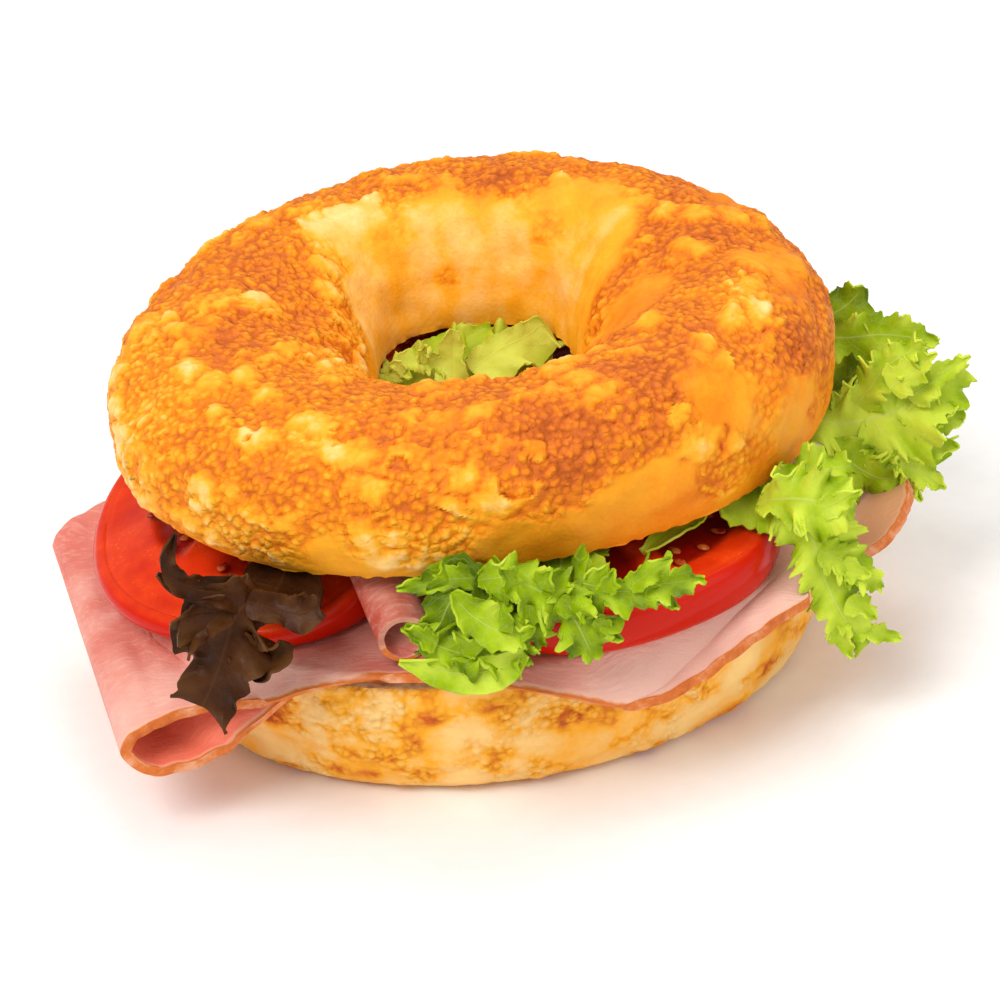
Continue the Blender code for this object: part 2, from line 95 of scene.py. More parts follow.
def to_linear(hex_colour):
    """An sRGB hex colour as linear red, green, blue and full alpha."""
    channels = [int(hex_colour[k:k + 2], 16) / 255 for k in (0, 2, 4)]
    linear = [c / 12.92 if c <= 0.04045 else ((c + 0.055) / 1.055) ** 2.4 for c in channels]
    return (*linear, 1.0)


def colour_property(name, description, hex_colour):
    """A colour that a user can change."""
    return bpy.props.FloatVectorProperty(name=name, description=description, subtype="COLOR", size=4,
                                         min=0.0, max=1.0, default=to_linear(hex_colour))


def length_property(name, description, millimetres):
    """A length that a user can change."""
    return bpy.props.FloatProperty(name=name, description=description, unit="LENGTH", min=0.0,
                                   default=millimetres * MM)


class BunSettings(bpy.types.PropertyGroup):
    """Sizes and colours of the two bagel halves."""
    radius: length_property("Radius", "Half the bagel's width over the upper half", 58.5)
    crumb_height: length_property("Crumb height", "How far the melted cheese stands proud", 1.0)
    pale: colour_property("Pale cheese", "Melted cheese that didn't brown", "FFD486")
    golden: colour_property("Golden crust", "Smooth crust between the cheese", "FCAE24")
    orange: colour_property("Orange crust", "Crust where the fat of the cheese ran", "F2880E")
    brown: colour_property("Brown cheese", "Cheese baked to a crust", "D4681C")
    dark: colour_property("Dark cheese", "The most browned cheese, in its hollows", "A64A14")
    cream: colour_property("Cream crust", "Pale crust of the lower half", "FAC878")
    crumb: colour_property("Crumb", "Cut bread inside", "F4DDA6")


class HamSettings(bpy.types.PropertyGroup):
    """Sizes and colours of the ham slices."""
    thickness: length_property("Thickness", "Thickness of a slice", 1.7)
    pink: colour_property("Pink", "Lean ham", "DC8172")
    # Also the colour that the meat is mixed towards where it is painted paler, as painted light
    pale: colour_property("Pale fibre", "Fibres and fat in the ham", "F8CDBB")
    rind: colour_property("Rind", "Browned rim of a slice", "D9742E")
    fat: colour_property("Fat", "Thin fat under the rind", "F2BD9C")
    tan: colour_property("Tan", "Smoked outer part of the lower slice", "DB9A6C")
    # Painted shade: the rolled slice's lean ham is darker, for the shadow of the upper half over it
    roll_pink_in_shade: colour_property("Rosy", "Lean ham of the rolled slice", "BA5140")
    coral: colour_property("Coral", "Inside of the fold, lit through the meat", "F4785A")


class TomatoSettings(bpy.types.PropertyGroup):
    """Colours of the tomato slices."""
    skin: colour_property("Skin", "Outer skin", "CB1A02")
    flesh: colour_property("Flesh", "Firm wall of the slice", "E43C0C")
    # Painted highlights: these dots stand for light catching the flesh's cells
    dots: colour_property("Dots", "Light yellow dots in the flesh", "F08A28")
    gel: colour_property("Gel", "Seed chambers", "8E0F04")
    seed: colour_property("Seed", "Seeds", "C9662A")
    skin_line: colour_property("Skin line", "Line where skin meets flesh", "EE5A2C")


class LeafSettings(bpy.types.PropertyGroup):
    """Sizes and colours of the salad leaves."""
    thickness: length_property("Thickness", "Thickness of a leaf", 0.36)
    lime: colour_property("Lime", "Margin, teeth and the brightest blades", "CADC40")
    green: colour_property("Green", "Blade of a frilly leaf", "98B40A")
    deep: colour_property("Deep green", "Folds and blades in the shade", "546C04")
    rib: colour_property("Rib", "Ribs and veins", "C9D884")
    heart: colour_property("Heart", "Brightest part of a pale inner leaf", "C8CE4E")
    inner: colour_property("Inner", "Blade of a pale inner leaf", "A8B224")
    red_edge: colour_property("Red leaf edge", "Margin and veins of the dark oak leaf", "5C3A1C")
    red: colour_property("Red leaf", "Blade of the dark oak leaf", "42210C")
    # Painted shade: the colour of the dark oak leaf's folds
    red_deep: colour_property("Red leaf folds", "Folds of the dark oak leaf", "231105")


class StageSettings(bpy.types.PropertyGroup):
    """Floor, lights and camera."""
    floor: colour_property("Floor", "Pale floor", "FBFBFA")
    elevation: bpy.props.FloatProperty(name="Camera height", description="Angle of the view above level",
                                       subtype="ANGLE", default=math.radians(31))
    roll: bpy.props.FloatProperty(name="Camera roll", description="Turn of the view about its axis",
                                  subtype="ANGLE", default=math.radians(5))
    distance: length_property("Camera distance", "From the camera to the sandwich", 500)


# Handling pieces

def take(piece):
    """Only this piece selected and active."""
    bpy.ops.object.select_all(action="DESELECT")
    piece.select_set(True)
    bpy.context.view_layer.objects.active = piece


def finish_modifier(piece, kind, **settings):
    """A modifier, set and applied."""
    take(piece)
    modifier = piece.modifiers.new(kind.title(), kind)
    for key, value in settings.items():
        setattr(modifier, key, value)
    bpy.ops.object.modifier_apply(modifier=modifier.name)


def weld(piece, distance):
    """Points that meet made one, and faces turned outwards."""
    take(piece)
    bpy.ops.object.mode_set(mode="EDIT")
    bpy.ops.mesh.select_all(action="SELECT")
    bpy.ops.mesh.remove_doubles(threshold=distance)
    bpy.ops.mesh.normals_make_consistent(inside=False)
    bpy.ops.object.mode_set(mode="OBJECT")


def smooth(piece, degrees):
    """Smooth shading, with edges sharper than this kept."""
    take(piece)
    bpy.ops.object.shade_smooth_by_angle(angle=math.radians(degrees))


def join(pieces, name):
    """One or several meshes made one."""
    take(pieces[0])
    for piece in pieces[1:]:
        piece.select_set(True)
    if len(pieces) > 1:
        bpy.ops.object.join()
    pieces[0].name = name
    pieces[0].data.name = name
    return pieces[0]


def settle(piece, node):
    """The piece moved to its place in the part, standing for its solid."""
    take(piece)
    piece.location = MIDDLE
    bpy.ops.object.transform_apply(location=True, rotation=True, scale=True)
    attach(piece, BODY)
    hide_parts(node)


def add_sheet(name, points, attribute, painted):
    """A grid whose points lie as the rows give, each with three painted numbers for the material."""
    columns = len(points) - 1
    rows = len(points[0]) - 1
    bpy.ops.object.select_all(action="DESELECT")
    bpy.ops.mesh.primitive_grid_add(x_subdivisions=columns, y_subdivisions=rows, size=1)
    sheet = bpy.context.object
    sheet.name = name
    sheet.data.name = name
    for vertex in sheet.data.vertices:
        i = round((vertex.co.x + 0.5) * columns)
        j = round((vertex.co.y + 0.5) * rows)
        vertex.co = points[i][j]
    layer = sheet.data.attributes.new(attribute, "FLOAT_VECTOR", "POINT")
    values = [painted[k % (columns + 1)][k // (columns + 1)] for k in range(len(layer.data))]
    layer.data.foreach_set("vector", [number for value in values for number in value])
    return sheet


# Numbers

def smooth_step(low, high, value):
    """0 below low, 1 above high, smooth between."""
    part = min(max((value - low) / (high - low), 0.0), 1.0)
    return part * part * (3 - 2 * part)


def superellipse(turn, power):
    """Cosine and sine of an angle, squared off by a power above 2."""
    across = math.copysign(abs(math.cos(turn)) ** (2 / power), math.cos(turn))
    along = math.copysign(abs(math.sin(turn)) ** (2 / power), math.sin(turn))
    return across, along


def heading(angle):
    """A level direction."""
    return Vector((math.cos(angle), math.sin(angle), 0))


def ripple_at(place, size, shift=(0, 0, 0)):
    """Smooth noise about -1 to 1 whose waves are this many millimetres apart."""
    return noise.noise(place / (size * MM) + Vector(shift))


def luck_at(place):
    """A seeded draw from 0 to 1, the same all over each unit cell of space."""
    return 0.5 + 0.5 * noise.cell(place)


def spline(points, part):
    """A smooth curve through points, at part 0 to 1 of their number."""
    last = len(points) - 1
    place = min(max(part, 0.0), 1.0) * last
    index = min(int(place), last - 1)
    step = place - index
    before = points[max(index - 1, 0)]
    start = points[index]
    end = points[index + 1]
    after = points[min(index + 2, last)]
    out = (end - before) * 0.5
    into = (after - start) * 0.5
    return (start * (2 * step ** 3 - 3 * step ** 2 + 1) + out * (step ** 3 - 2 * step ** 2 + step)
            + end * (3 * step ** 2 - 2 * step ** 3) + into * (step ** 3 - step ** 2))


def at(x, y, z):
    """A place in millimetres, from the middle of the bagel's base."""
    return Vector((x, y, z)) * MM


# Materials

def per_mm(size):
    """The scale of a pattern whose parts are this many millimetres apart."""
    return 1 / (size * MM)


def toned(colour, factors):
    """A colour with its red, green and blue multiplied."""
    return tuple(channel * factor for channel, factor in zip(colour[:3], factors)) + (1.0,)


def new_material(name, attribute=None):
    """An empty material: itself, its add-node helper, places on the object, an attribute's numbers."""
    material = bpy.data.materials.new(name)
    material.use_nodes = True
    add = partial(add_node, material)
    parts = None
    if attribute:
        painted = add("ShaderNodeAttribute", attribute_name=attribute)
        parts = add("ShaderNodeSeparateXYZ", {"Vector": painted.outputs["Vector"]}).outputs
    return material, add, add("ShaderNodeTexCoord").outputs["Object"], parts


def connect(material, socket, value):
    """A socket's value: a number, a colour, another node's output, or a node for its first output."""
    if isinstance(value, bpy.types.Node):
        value = value.outputs[0]
    if isinstance(value, bpy.types.NodeSocket):
        material.node_tree.links.new(value, socket)
    else:
        socket.default_value = value


def add_node(material, kind, inputs=None, stops=None, **settings):
    """A shader node with its inputs, the stops of its colour ramp, and its settings."""
    node = material.node_tree.nodes.new(kind)
    for key, value in settings.items():
        setattr(node, key, value)
    for key, value in (inputs or {}).items():
        connect(material, node.inputs[key], value)
    for index, (place, colour) in enumerate(stops or ()):
        elements = node.color_ramp.elements
        element = elements[index] if index < 2 else elements.new(place)
        element.position = place
        element.color = colour
    return node


def set_shader(material, **inputs):
    """The material with its shader's own inputs set. Underscores in a name stand for spaces."""
    shader = material.node_tree.nodes["Principled BSDF"]
    for key, value in inputs.items():
        connect(material, shader.inputs[key.replace("_", " ")], value)
    return material


def baked_crust(name, stops, mottle, patch_size, crumb_bump):
    """Bread crust with grated cheese baked on.

    Grated cheese melts into soft crumbs about a millimetre wide that brown in the hollows and stay
    pale on top, and its fat leaves a satin shine on the crust around them. The bake attribute holds
    how much cheese lies there, the browning, and how far the cheese melted into a smooth lump.
    """
    material, add, place, bake = new_material(name, "bake")
    cover, tone, melt = bake["X"], bake["Y"], bake["Z"]
    # Crumbs are not round: their pattern is pulled about by up to 0.4 mm
    pull = add("ShaderNodeTexNoise", {"Vector": place, "Scale": per_mm(2.2), "Detail": 2.0})
    pulled = add("ShaderNodeVectorMath", {0: pull.outputs["Color"], 1: (0.9 * MM,) * 3, 2: place},
                 operation="MULTIPLY_ADD")
    crumbs = add("ShaderNodeTexVoronoi", {"Vector": pulled, "Scale": per_mm(1.35)})
    hollow = add("ShaderNodeMapRange", {"Value": crumbs, "From Min": 0.3, "From Max": 0.8})
    loose = add("ShaderNodeMath", {0: melt, 1: -0.8, 2: 1.0}, operation="MULTIPLY_ADD")
    crumbly = add("ShaderNodeMath", {0: cover, 1: loose}, operation="MULTIPLY")
    patches = add("ShaderNodeTexNoise", {"Vector": place, "Scale": per_mm(patch_size),
                                         "Detail": 7.0, "Roughness": 0.62})
    specks = add("ShaderNodeTexNoise", {"Vector": place, "Scale": per_mm(0.7), "Detail": 3.0,
                                        "Roughness": 0.6})
    # Browning: the painted tone, then patches, then the crumbs' hollows where cheese lies
    patchy = add("ShaderNodeMath", {0: patches, 1: mottle, 2: tone}, operation="MULTIPLY_ADD")
    hollows = add("ShaderNodeMath", {0: hollow, 1: crumbly}, operation="MULTIPLY")
    baked = add("ShaderNodeMath", {0: hollows, 1: 0.25, 2: patchy}, operation="MULTIPLY_ADD")
    speckled = add("ShaderNodeMath", {0: specks, 1: 0.12, 2: baked}, operation="MULTIPLY_ADD")
    middle_level = mottle / 2 + 0.12
    level = add("ShaderNodeMath", {0: speckled, 1: middle_level}, operation="SUBTRACT")
    colour = add("ShaderNodeValToRGB", {"Fac": level}, stops)
    # Height in the same order: crumbs where cheese lies, fine pores everywhere
    crumb_top = add("ShaderNodeMath", {0: 1.0, 1: hollow}, operation="SUBTRACT")
    crumb_height = add("ShaderNodeMath", {0: crumb_top, 1: crumbly}, operation="MULTIPLY")
    height = add("ShaderNodeMath", {0: specks, 1: 0.3, 2: crumb_height}, operation="MULTIPLY_ADD")
    bump = add("ShaderNodeBump", {"Height": height, "Distance": crumb_bump * MM, "Strength": 1.0})
    shine = add("ShaderNodeMapRange", {"Value": patches, "From Min": 0.3, "From Max": 0.7,
                                       "To Min": 0.4, "To Max": 0.58})
    return set_shader(material, Base_Color=colour, Roughness=shine, Normal=bump, IOR=1.45,
                      Specular_IOR_Level=0.2)


def cut_bread(name, crumb):
    """Cut bagel crumb: a dull, close sponge with pores up to 1.5 mm."""
    material, add, place, _ = new_material(name)
    pores = add("ShaderNodeTexVoronoi", {"Vector": place, "Scale": per_mm(1.3)})
    fine = add("ShaderNodeTexNoise", {"Vector": place, "Scale": per_mm(0.9), "Detail": 5.0,
                                      "Roughness": 0.7})
    sponge = add("ShaderNodeMath", {0: pores, 1: fine}, operation="MULTIPLY")
    # Painted shade: the pores are darker than the crumb
    colour = add("ShaderNodeValToRGB", {"Fac": sponge}, [(0.05, toned(crumb, (0.55,) * 3)), (0.35, crumb)])
    bump = add("ShaderNodeBump", {"Height": sponge, "Distance": 0.6 * MM, "Strength": 1.0})
    return set_shader(material, Base_Color=colour, Roughness=0.85, Normal=bump, IOR=1.4,
                      Specular_IOR_Level=0.25)


def cooked_ham(name, settings, lean):
    """Cooked ham: pressed lean meat with a moist shine and short pale fibres.

    The slice attribute holds painted light, which is how much paler the meat is painted, and below 0 the
    coral glow painted inside the fold. It then holds how many millimetres in from the slice's rim the place
    lies, and how far the smoked tan has spread.
    """
    material, add, place, parts = new_material(name, "slice")
    painted_light, inwards_mm, smoke = parts["X"], parts["Y"], parts["Z"]
    # Fibres 0.6 mm wide and about 4 mm long, bent by a slow noise
    bend = add("ShaderNodeTexNoise", {"Vector": place, "Scale": per_mm(14.0), "Detail": 1.0})
    bent = add("ShaderNodeVectorMath", {0: bend.outputs["Color"], 1: (9 * MM,) * 3, 2: place},
               operation="MULTIPLY_ADD")
    stretched = add("ShaderNodeMapping", {"Vector": bent, "Rotation": (0.0, 0.0, 0.9),
                                          "Scale": (0.16, 1.0, 1.0)})
    fibres = add("ShaderNodeTexNoise", {"Vector": stretched, "Scale": per_mm(0.6), "Detail": 3.0,
                                        "Roughness": 0.55})
    streaks = add("ShaderNodeMapRange", {"Value": fibres, "From Min": 0.5, "From Max": 0.8, "To Max": 0.34})
    clouds = add("ShaderNodeTexNoise", {"Vector": place, "Scale": per_mm(11.0), "Detail": 5.0,
                                        "Roughness": 0.5})
    paler = tuple(a * 0.55 + b * 0.45 for a, b in zip(lean[:3], settings.pale[:3])) + (1.0,)
    meat = add("ShaderNodeValToRGB", {"Fac": clouds},
               [(0.3, toned(lean, (0.92, 0.74, 0.72))), (0.48, lean), (0.7, paler)])
    fibred = add("ShaderNodeMix", {0: streaks, 6: meat, 7: settings.pale}, data_type="RGBA")
    # Painted light: paler where the first number is above 0, and a coral glow painted inside the fold below
    # 0
    painted_paler = add("ShaderNodeMix", {0: painted_light, 6: fibred.outputs[2], 7: settings.pale}, data_type="RGBA")
    lit_through = add("ShaderNodeMapRange", {"Value": painted_light, "From Min": 0.0, "From Max": -0.8,
                                             "To Max": 0.85})
    glowing = add("ShaderNodeMix", {0: lit_through, 6: painted_paler.outputs[2], 7: settings.coral},
                  data_type="RGBA")
    tanned = add("ShaderNodeMix", {0: smoke, 6: glowing.outputs[2], 7: settings.tan}, data_type="RGBA")
    # The rim: browned for about 0.3 mm, then a thin line of fat, then lean meat
    ragged = add("ShaderNodeTexNoise", {"Vector": place, "Scale": per_mm(2.5), "Detail": 3.0})
    inwards = add("ShaderNodeMath", {0: ragged, 1: -0.9, 2: inwards_mm}, operation="MULTIPLY_ADD")
    fat_line = add("ShaderNodeMapRange", {"Value": inwards, "From Min": 0.0, "From Max": 0.5,
                                          "To Min": 0.35, "To Max": 1.0})
    rind_line = add("ShaderNodeMapRange", {"Value": inwards, "From Min": -0.3, "From Max": 0.05})
    fatty = add("ShaderNodeMix", {0: fat_line, 6: settings.fat, 7: tanned.outputs[2]}, data_type="RGBA")
    rimmed = add("ShaderNodeMix", {0: rind_line, 6: settings.rind, 7: fatty.outputs[2]}, data_type="RGBA")
    grain = add("ShaderNodeTexNoise", {"Vector": place, "Scale": per_mm(0.6), "Detail": 4.0,
                                       "Roughness": 0.6})
    height = add("ShaderNodeMath", {0: fibres, 1: 1.4, 2: grain}, operation="MULTIPLY_ADD")
    bump = add("ShaderNodeBump", {"Height": height, "Distance": 0.1 * MM, "Strength": 1.0})
    wet = add("ShaderNodeMapRange", {"Value": clouds, "From Min": 0.3, "From Max": 0.7,
                                     "To Min": 0.3, "To Max": 0.46})
    return set_shader(material, Base_Color=rimmed.outputs[2], Roughness=wet, Normal=bump, IOR=1.4,
                      Specular_IOR_Level=0.3)


def ham_rind(name, settings):
    """The browned cut rim of the ham: thin, dry and uneven, darker where the smoke caught it."""
    material, add, place, _ = new_material(name)
    stain = add("ShaderNodeTexNoise", {"Vector": place, "Scale": per_mm(3.5), "Detail": 5.0,
                                       "Roughness": 0.65})
    dark = toned(settings.rind, (0.7, 0.5, 0.4))
    colour = add("ShaderNodeValToRGB", {"Fac": stain},
                 [(0.28, dark), (0.5, settings.rind), (0.78, settings.fat)])
    bump = add("ShaderNodeBump", {"Height": stain, "Distance": 0.3 * MM, "Strength": 1.0})
    return set_shader(material, Base_Color=colour, Roughness=0.5, Normal=bump, IOR=1.4,
                      Specular_IOR_Level=0.35)


def wet_tomato(name, settings):
    """A cut tomato slice: glossy tight skin, and wet flesh with darker seed chambers.

    The cut attribute holds how much of the cut face it is, how much of a seed chamber, and how
    near the line where skin meets flesh.
    """
    material, add, place, parts = new_material(name, "cut")
    face, gel, line = parts["X"], parts["Y"], parts["Z"]
    clouds = add("ShaderNodeTexNoise", {"Vector": place, "Scale": per_mm(6.0), "Detail": 3.0,
                                        "Roughness": 0.5})
    cells = add("ShaderNodeTexNoise", {"Vector": place, "Scale": per_mm(0.45), "Detail": 2.0,
                                       "Roughness": 0.6})
    # Painted highlights: tiny yellow dots where the light catches the cells of the flesh, in a few places
    dotty = add("ShaderNodeMapRange", {"Value": clouds, "From Min": 0.5, "From Max": 0.62, "To Max": 0.7})
    dots = add("ShaderNodeMapRange", {"Value": cells, "From Min": 0.6, "From Max": 0.72})
    dot_amount = add("ShaderNodeMath", {0: dots, 1: dotty}, operation="MULTIPLY")
    dark_flesh = toned(settings.flesh, (0.8, 0.5, 0.5))
    flesh = add("ShaderNodeValToRGB", {"Fac": clouds}, [(0.35, dark_flesh), (0.6, settings.flesh)])
    dotted = add("ShaderNodeMix", {0: dot_amount, 6: flesh, 7: settings.dots}, data_type="RGBA")
    with_gel = add("ShaderNodeMix", {0: gel, 6: dotted.outputs[2], 7: settings.gel}, data_type="RGBA")
    whole = add("ShaderNodeMix", {0: face, 6: settings.skin, 7: with_gel.outputs[2]}, data_type="RGBA")
    line_amount = add("ShaderNodeMath", {0: line, 1: 0.14}, operation="MULTIPLY")
    lined = add("ShaderNodeMix", {0: line_amount, 6: whole.outputs[2], 7: settings.skin_line},
                data_type="RGBA")
    rough = add("ShaderNodeMapRange", {"Value": face, "To Min": 0.2, "To Max": 0.28})
    height = add("ShaderNodeMath", {0: cells, 1: face}, operation="MULTIPLY")
    bump = add("ShaderNodeBump", {"Height": height, "Distance": 0.06 * MM, "Strength": 1.0})
    return set_shader(material, Base_Color=lined.outputs[2], Roughness=rough, Normal=bump, IOR=1.4,
                      Specular_IOR_Level=0.22)


def tomato_seed(name, settings):
    """Tomato seeds: flat, pale and sunk in red gel."""
    material, add, place, _ = new_material(name)
    tint = add("ShaderNodeTexNoise", {"Vector": place, "Scale": per_mm(1.2), "Detail": 2.0})
    colour = add("ShaderNodeValToRGB", {"Fac": tint}, [(0.35, settings.gel), (0.65, settings.seed)])
    return set_shader(material, Base_Color=colour, Roughness=0.25, IOR=1.4, Specular_IOR_Level=0.4)


def salad_leaf(name, bright, blade, deep, rib):
    """A fresh salad leaf: a waxy blade, clouded light and dark, over a net of veins.

    The blade attribute holds the place across, -1 to 1, millimetres along the rib, and how dark
    the blade is painted there, 0 to 1. This is painted shade in the folds and on blades that lie in the
    shade.
    """
    material, add, place, parts = new_material(name, "blade")
    across, along, dark = parts["X"], parts["Y"], parts["Z"]
    clouds = add("ShaderNodeTexNoise", {"Vector": place, "Scale": per_mm(5.0), "Detail": 4.0,
                                        "Roughness": 0.55})
    spread = add("ShaderNodeMath", {0: across}, operation="ABSOLUTE")
    outer = add("ShaderNodeMapRange", {"Value": spread, "From Min": 0.75, "From Max": 1.0,
                                       "To Max": -0.03}, interpolation_type="SMOOTHSTEP")
    shaded = add("ShaderNodeMath", {0: clouds, 1: 0.6, 2: dark}, operation="MULTIPLY_ADD")
    level = add("ShaderNodeMath", {0: shaded, 1: outer}, operation="ADD")
    # The clouds' middle value lies at 0.3
    green = add("ShaderNodeValToRGB", {"Fac": level}, [(0.3, bright), (0.62, blade), (1.0, deep)])
    # Side veins leave the rib at a slant, one about every 4 mm
    slant = add("ShaderNodeMath", {0: spread, 1: -5.0, 2: along}, operation="MULTIPLY_ADD")
    wander = add("ShaderNodeMath", {0: clouds, 1: 5.0, 2: slant}, operation="MULTIPLY_ADD")
    every = add("ShaderNodeMath", {0: wander, 1: 2.0}, operation="PINGPONG")
    side_vein = add("ShaderNodeMapRange", {"Value": every, "From Min": 0.2, "From Max": 0.0, "To Max": 0.2})
    middle = add("ShaderNodeMapRange", {"Value": spread, "From Min": 0.06, "From Max": 0.01,
                                        "To Max": 0.36})
    net = add("ShaderNodeTexVoronoi", {"Vector": place, "Scale": per_mm(1.8)}, feature="DISTANCE_TO_EDGE")
    net_vein = add("ShaderNodeMapRange", {"Value": net, "From Min": 0.1, "From Max": 0.0, "To Max": 0.09})
    veins = add("ShaderNodeMath", {0: side_vein, 1: middle}, operation="MAXIMUM")
    all_veins = add("ShaderNodeMath", {0: veins, 1: net_vein}, operation="MAXIMUM")
    veined = add("ShaderNodeMix", {0: all_veins, 6: green, 7: rib}, data_type="RGBA")
    height = add("ShaderNodeMath", {0: clouds, 1: 2.0, 2: all_veins}, operation="MULTIPLY_ADD")
    bump = add("ShaderNodeBump", {"Height": height, "Distance": 0.2 * MM, "Strength": 0.8})
    return set_shader(material, Base_Color=veined.outputs[2], Roughness=0.36, Normal=bump, IOR=1.42,
                      Specular_IOR_Level=0.12)


# Bagel halves

def uneven_radius(angle):
    """How far the hand-shaped ring leaves a true circle."""
    waves = ((1, -1.0, 0.85), (2, 0.16, 1.14), (3, 0.7, -2.0))
    swell = sum(a * math.cos(k * angle) + b * math.sin(k * angle) for k, a, b in waves)
    flat_back = 2.0 * math.exp(-((angle - math.radians(92)) / math.radians(50)) ** 2)
    return (swell - flat_back) * MM


def hole_radius(angle):
    """Distance from the bagel's middle to the hole's edge at the upper cut face."""
    power, halvings = 2.8, 40
    direction = Vector((math.cos(angle), math.sin(angle)))
    near, far = 0.0, HOLE_DEPTH
    for _ in range(halvings):
        middle = (near + far) / 2
        across = abs(direction.x * middle) / (HOLE_WIDTH / 2)
        along = abs(direction.y * middle - HOLE_SHIFT) / (HOLE_DEPTH / 2)
        if across ** power + along ** power < 1:
            near = middle
        else:
            far = middle
    return near


def relief(point):
    """The broad, low unevenness of the baked crust, as in the solids."""
    coarse = noise.noise(point / CRUST_GRAIN)
    fine = noise.noise(point / (CRUST_GRAIN * 0.45) + Vector((7, 3, 1)))
    return CRUST_RELIEF * (coarse + 0.6 * fine)


# Widths of the cheese crumbs in millimetres
LARGE_CRUMB = 4.6
MIDDLE_CRUMB = 2.5
SMALL_CRUMB = 1.5
MEAN_RADIUS = 44 * MM        # of the ring, along which crumbs were drawn out


def crumb_at(spot, size, keep):
    """Height and luck of the crumb there: 0 in the hollows and where no crumb fell."""
    distances, places = noise.voronoi(spot / (size * MM))
    luck = luck_at(places[0] * 31.7)
    if luck > keep:
        return 0.0, luck
    return math.sqrt(min((distances[1] - distances[0]) * 1.7, 1.0)), luck / keep


def crumb_field(point, angle, lumpy):
    """Heights of large, middle and small cheese crumbs at a point, and how pale the large one is."""
    wander = noise.noise_vector(point / (2.6 * MM)) * 0.55 * MM
    # Large crumbs were drawn out along the ring as the dough rose: 1.4 times as long as wide
    reach = math.hypot(point.x, point.y) + math.sin(angle) * 8 * MM
    turned = Vector((reach, angle * MEAN_RADIUS * 0.72, point.z))
    large, luck = crumb_at(turned + wander * 1.6, LARGE_CRUMB, lumpy)
    middle, _ = crumb_at(point + wander, MIDDLE_CRUMB, 1.0)
    small, _ = crumb_at(point + wander + Vector((1, 2, 3)) * MM, SMALL_CRUMB, 1.0)
    return large, middle, small, luck


# Patches that stand out: angle, share of the way from the outer edge (0) over the crest (0.5) to the
# hole (1), width in millimetres, cheese added and browning added
TOP_PATCHES = [
    (252, 0.2, 4, 0.9, 0.24), (248, 0.4, 8, 0.5, 0.13), (260, 0.24, 7, 0.7, 0.12),
    (280, 0.3, 9, 0.9, 0.2), (286, 0.42, 8, 0.7, 0.15), (286, 0.24, 6, 0.8, 0.15),
    (308, 0.13, 6, 1.0, 0.22), (304, 0.44, 6, 0.6, 0.17), (322, 0.5, 6, 0.5, 0.14),
    (10, 0.47, 8, 0.6, 0.2), (334, 0.3, 4, 0.8, 0.26), (332, 0.13, 3, 0.8, 0.18), (80, 0.56, 7, 0.7, 0.2),
    (62, 0.54, 7, 0.7, 0.18), (44, 0.6, 7, 0.7, 0.13), (20, 0.62, 7, 0.6, 0.12),
    (164, 0.68, 8, 0.5, 0.12), (150, 0.54, 8, 0.5, 0.14), (264, 0.44, 6, 0.5, 0.13),
    (96, 0.86, 3, 0.9, 0.26), (62, 0.78, 5, 0.7, 0.16), (300, 0.28, 6, 0.6, 0.14),
    (110, 0.7, 5, 0.5, 0.1), (208, 0.36, 8, 0.6, -0.15), (176, 0.56, 6, 0.6, -0.13),
    (110, 0.53, 4, 0.8, -0.22), (226, 0.34, 6, 0.5, -0.13), (238, 0.36, 7, 0.5, -0.15),
    (226, 0.16, 7, 0.5, -0.1), (192, 0.38, 7, 0.5, -0.11), (124, 0.56, 6, 0.2, -0.18),
    (342, 0.46, 5, 0.9, -0.24), (336, 0.38, 5, 0.9, -0.24), (312, 0.13, 3, 0.6, -0.12),
    (298, 0.44, 5, 0.5, -0.06), (290, 0.08, 9, -0.9, 0.0), (328, 0.12, 9, -0.9, -0.03),
    (314, 0.27, 8, -0.9, 0.0), (0, 0.4, 8, -0.7, -0.05), (342, 0.72, 8, -0.9, -0.02),
    (272, 0.11, 8, -0.6, -0.05), (298, 0.12, 8, -0.9, 0.0), (232, 0.07, 9, -0.2, -0.12),
    (246, 0.08, 8, -0.3, -0.11), (256, 0.06, 8, -0.3, -0.13), (206, 0.22, 8, 0.3, -0.1),
]
PATCH_BROWNING = 0.65        # how much of a dark patch's browning shows


def patch_sum(point, centres):
    """Cheese and browning that nearby patches add."""
    cheese, brown = 0.0, 0.0
    broad = noise.noise_vector(point / (5 * MM)) * 3.5 * MM
    ragged = point + broad + noise.noise_vector(point / (2 * MM)) * MM
    for centre, width, more_cheese, more_brown in centres:
        near = math.exp(-((ragged - centre).length / (width * MM)) ** 2 * 1.6)
        cheese += more_cheese * near
        brown += more_brown * (PATCH_BROWNING if more_brown > 0 else 1.0) * near
    return cheese, brown


def bake_tone(cover, large, middle, small, luck, brown):
    """Browning of the crust at a point, 0 pale to 1 dark: hollows brown, large crumbs stay pale."""
    hollow = 1 - max(large, middle * 0.8, small * 0.5)
    tone = brown + cover * (0.25 * hollow - 0.11 * middle)
    return tone - cover * 0.2 * large * (0.4 + 0.6 * luck)


def wall_share(angle):
    """Where along the slice the smooth wall of the hole starts: near the crest only at the back."""
    off_back = (math.degrees(angle) - 90 + 180) % 360 - 180
    rise = smooth_step(40, 70, off_back) if off_back > 0 else smooth_step(42, 95, -off_back)
    return 0.57 - 0.08 * smooth_step(15, 34, abs(off_back)) + 0.45 * rise


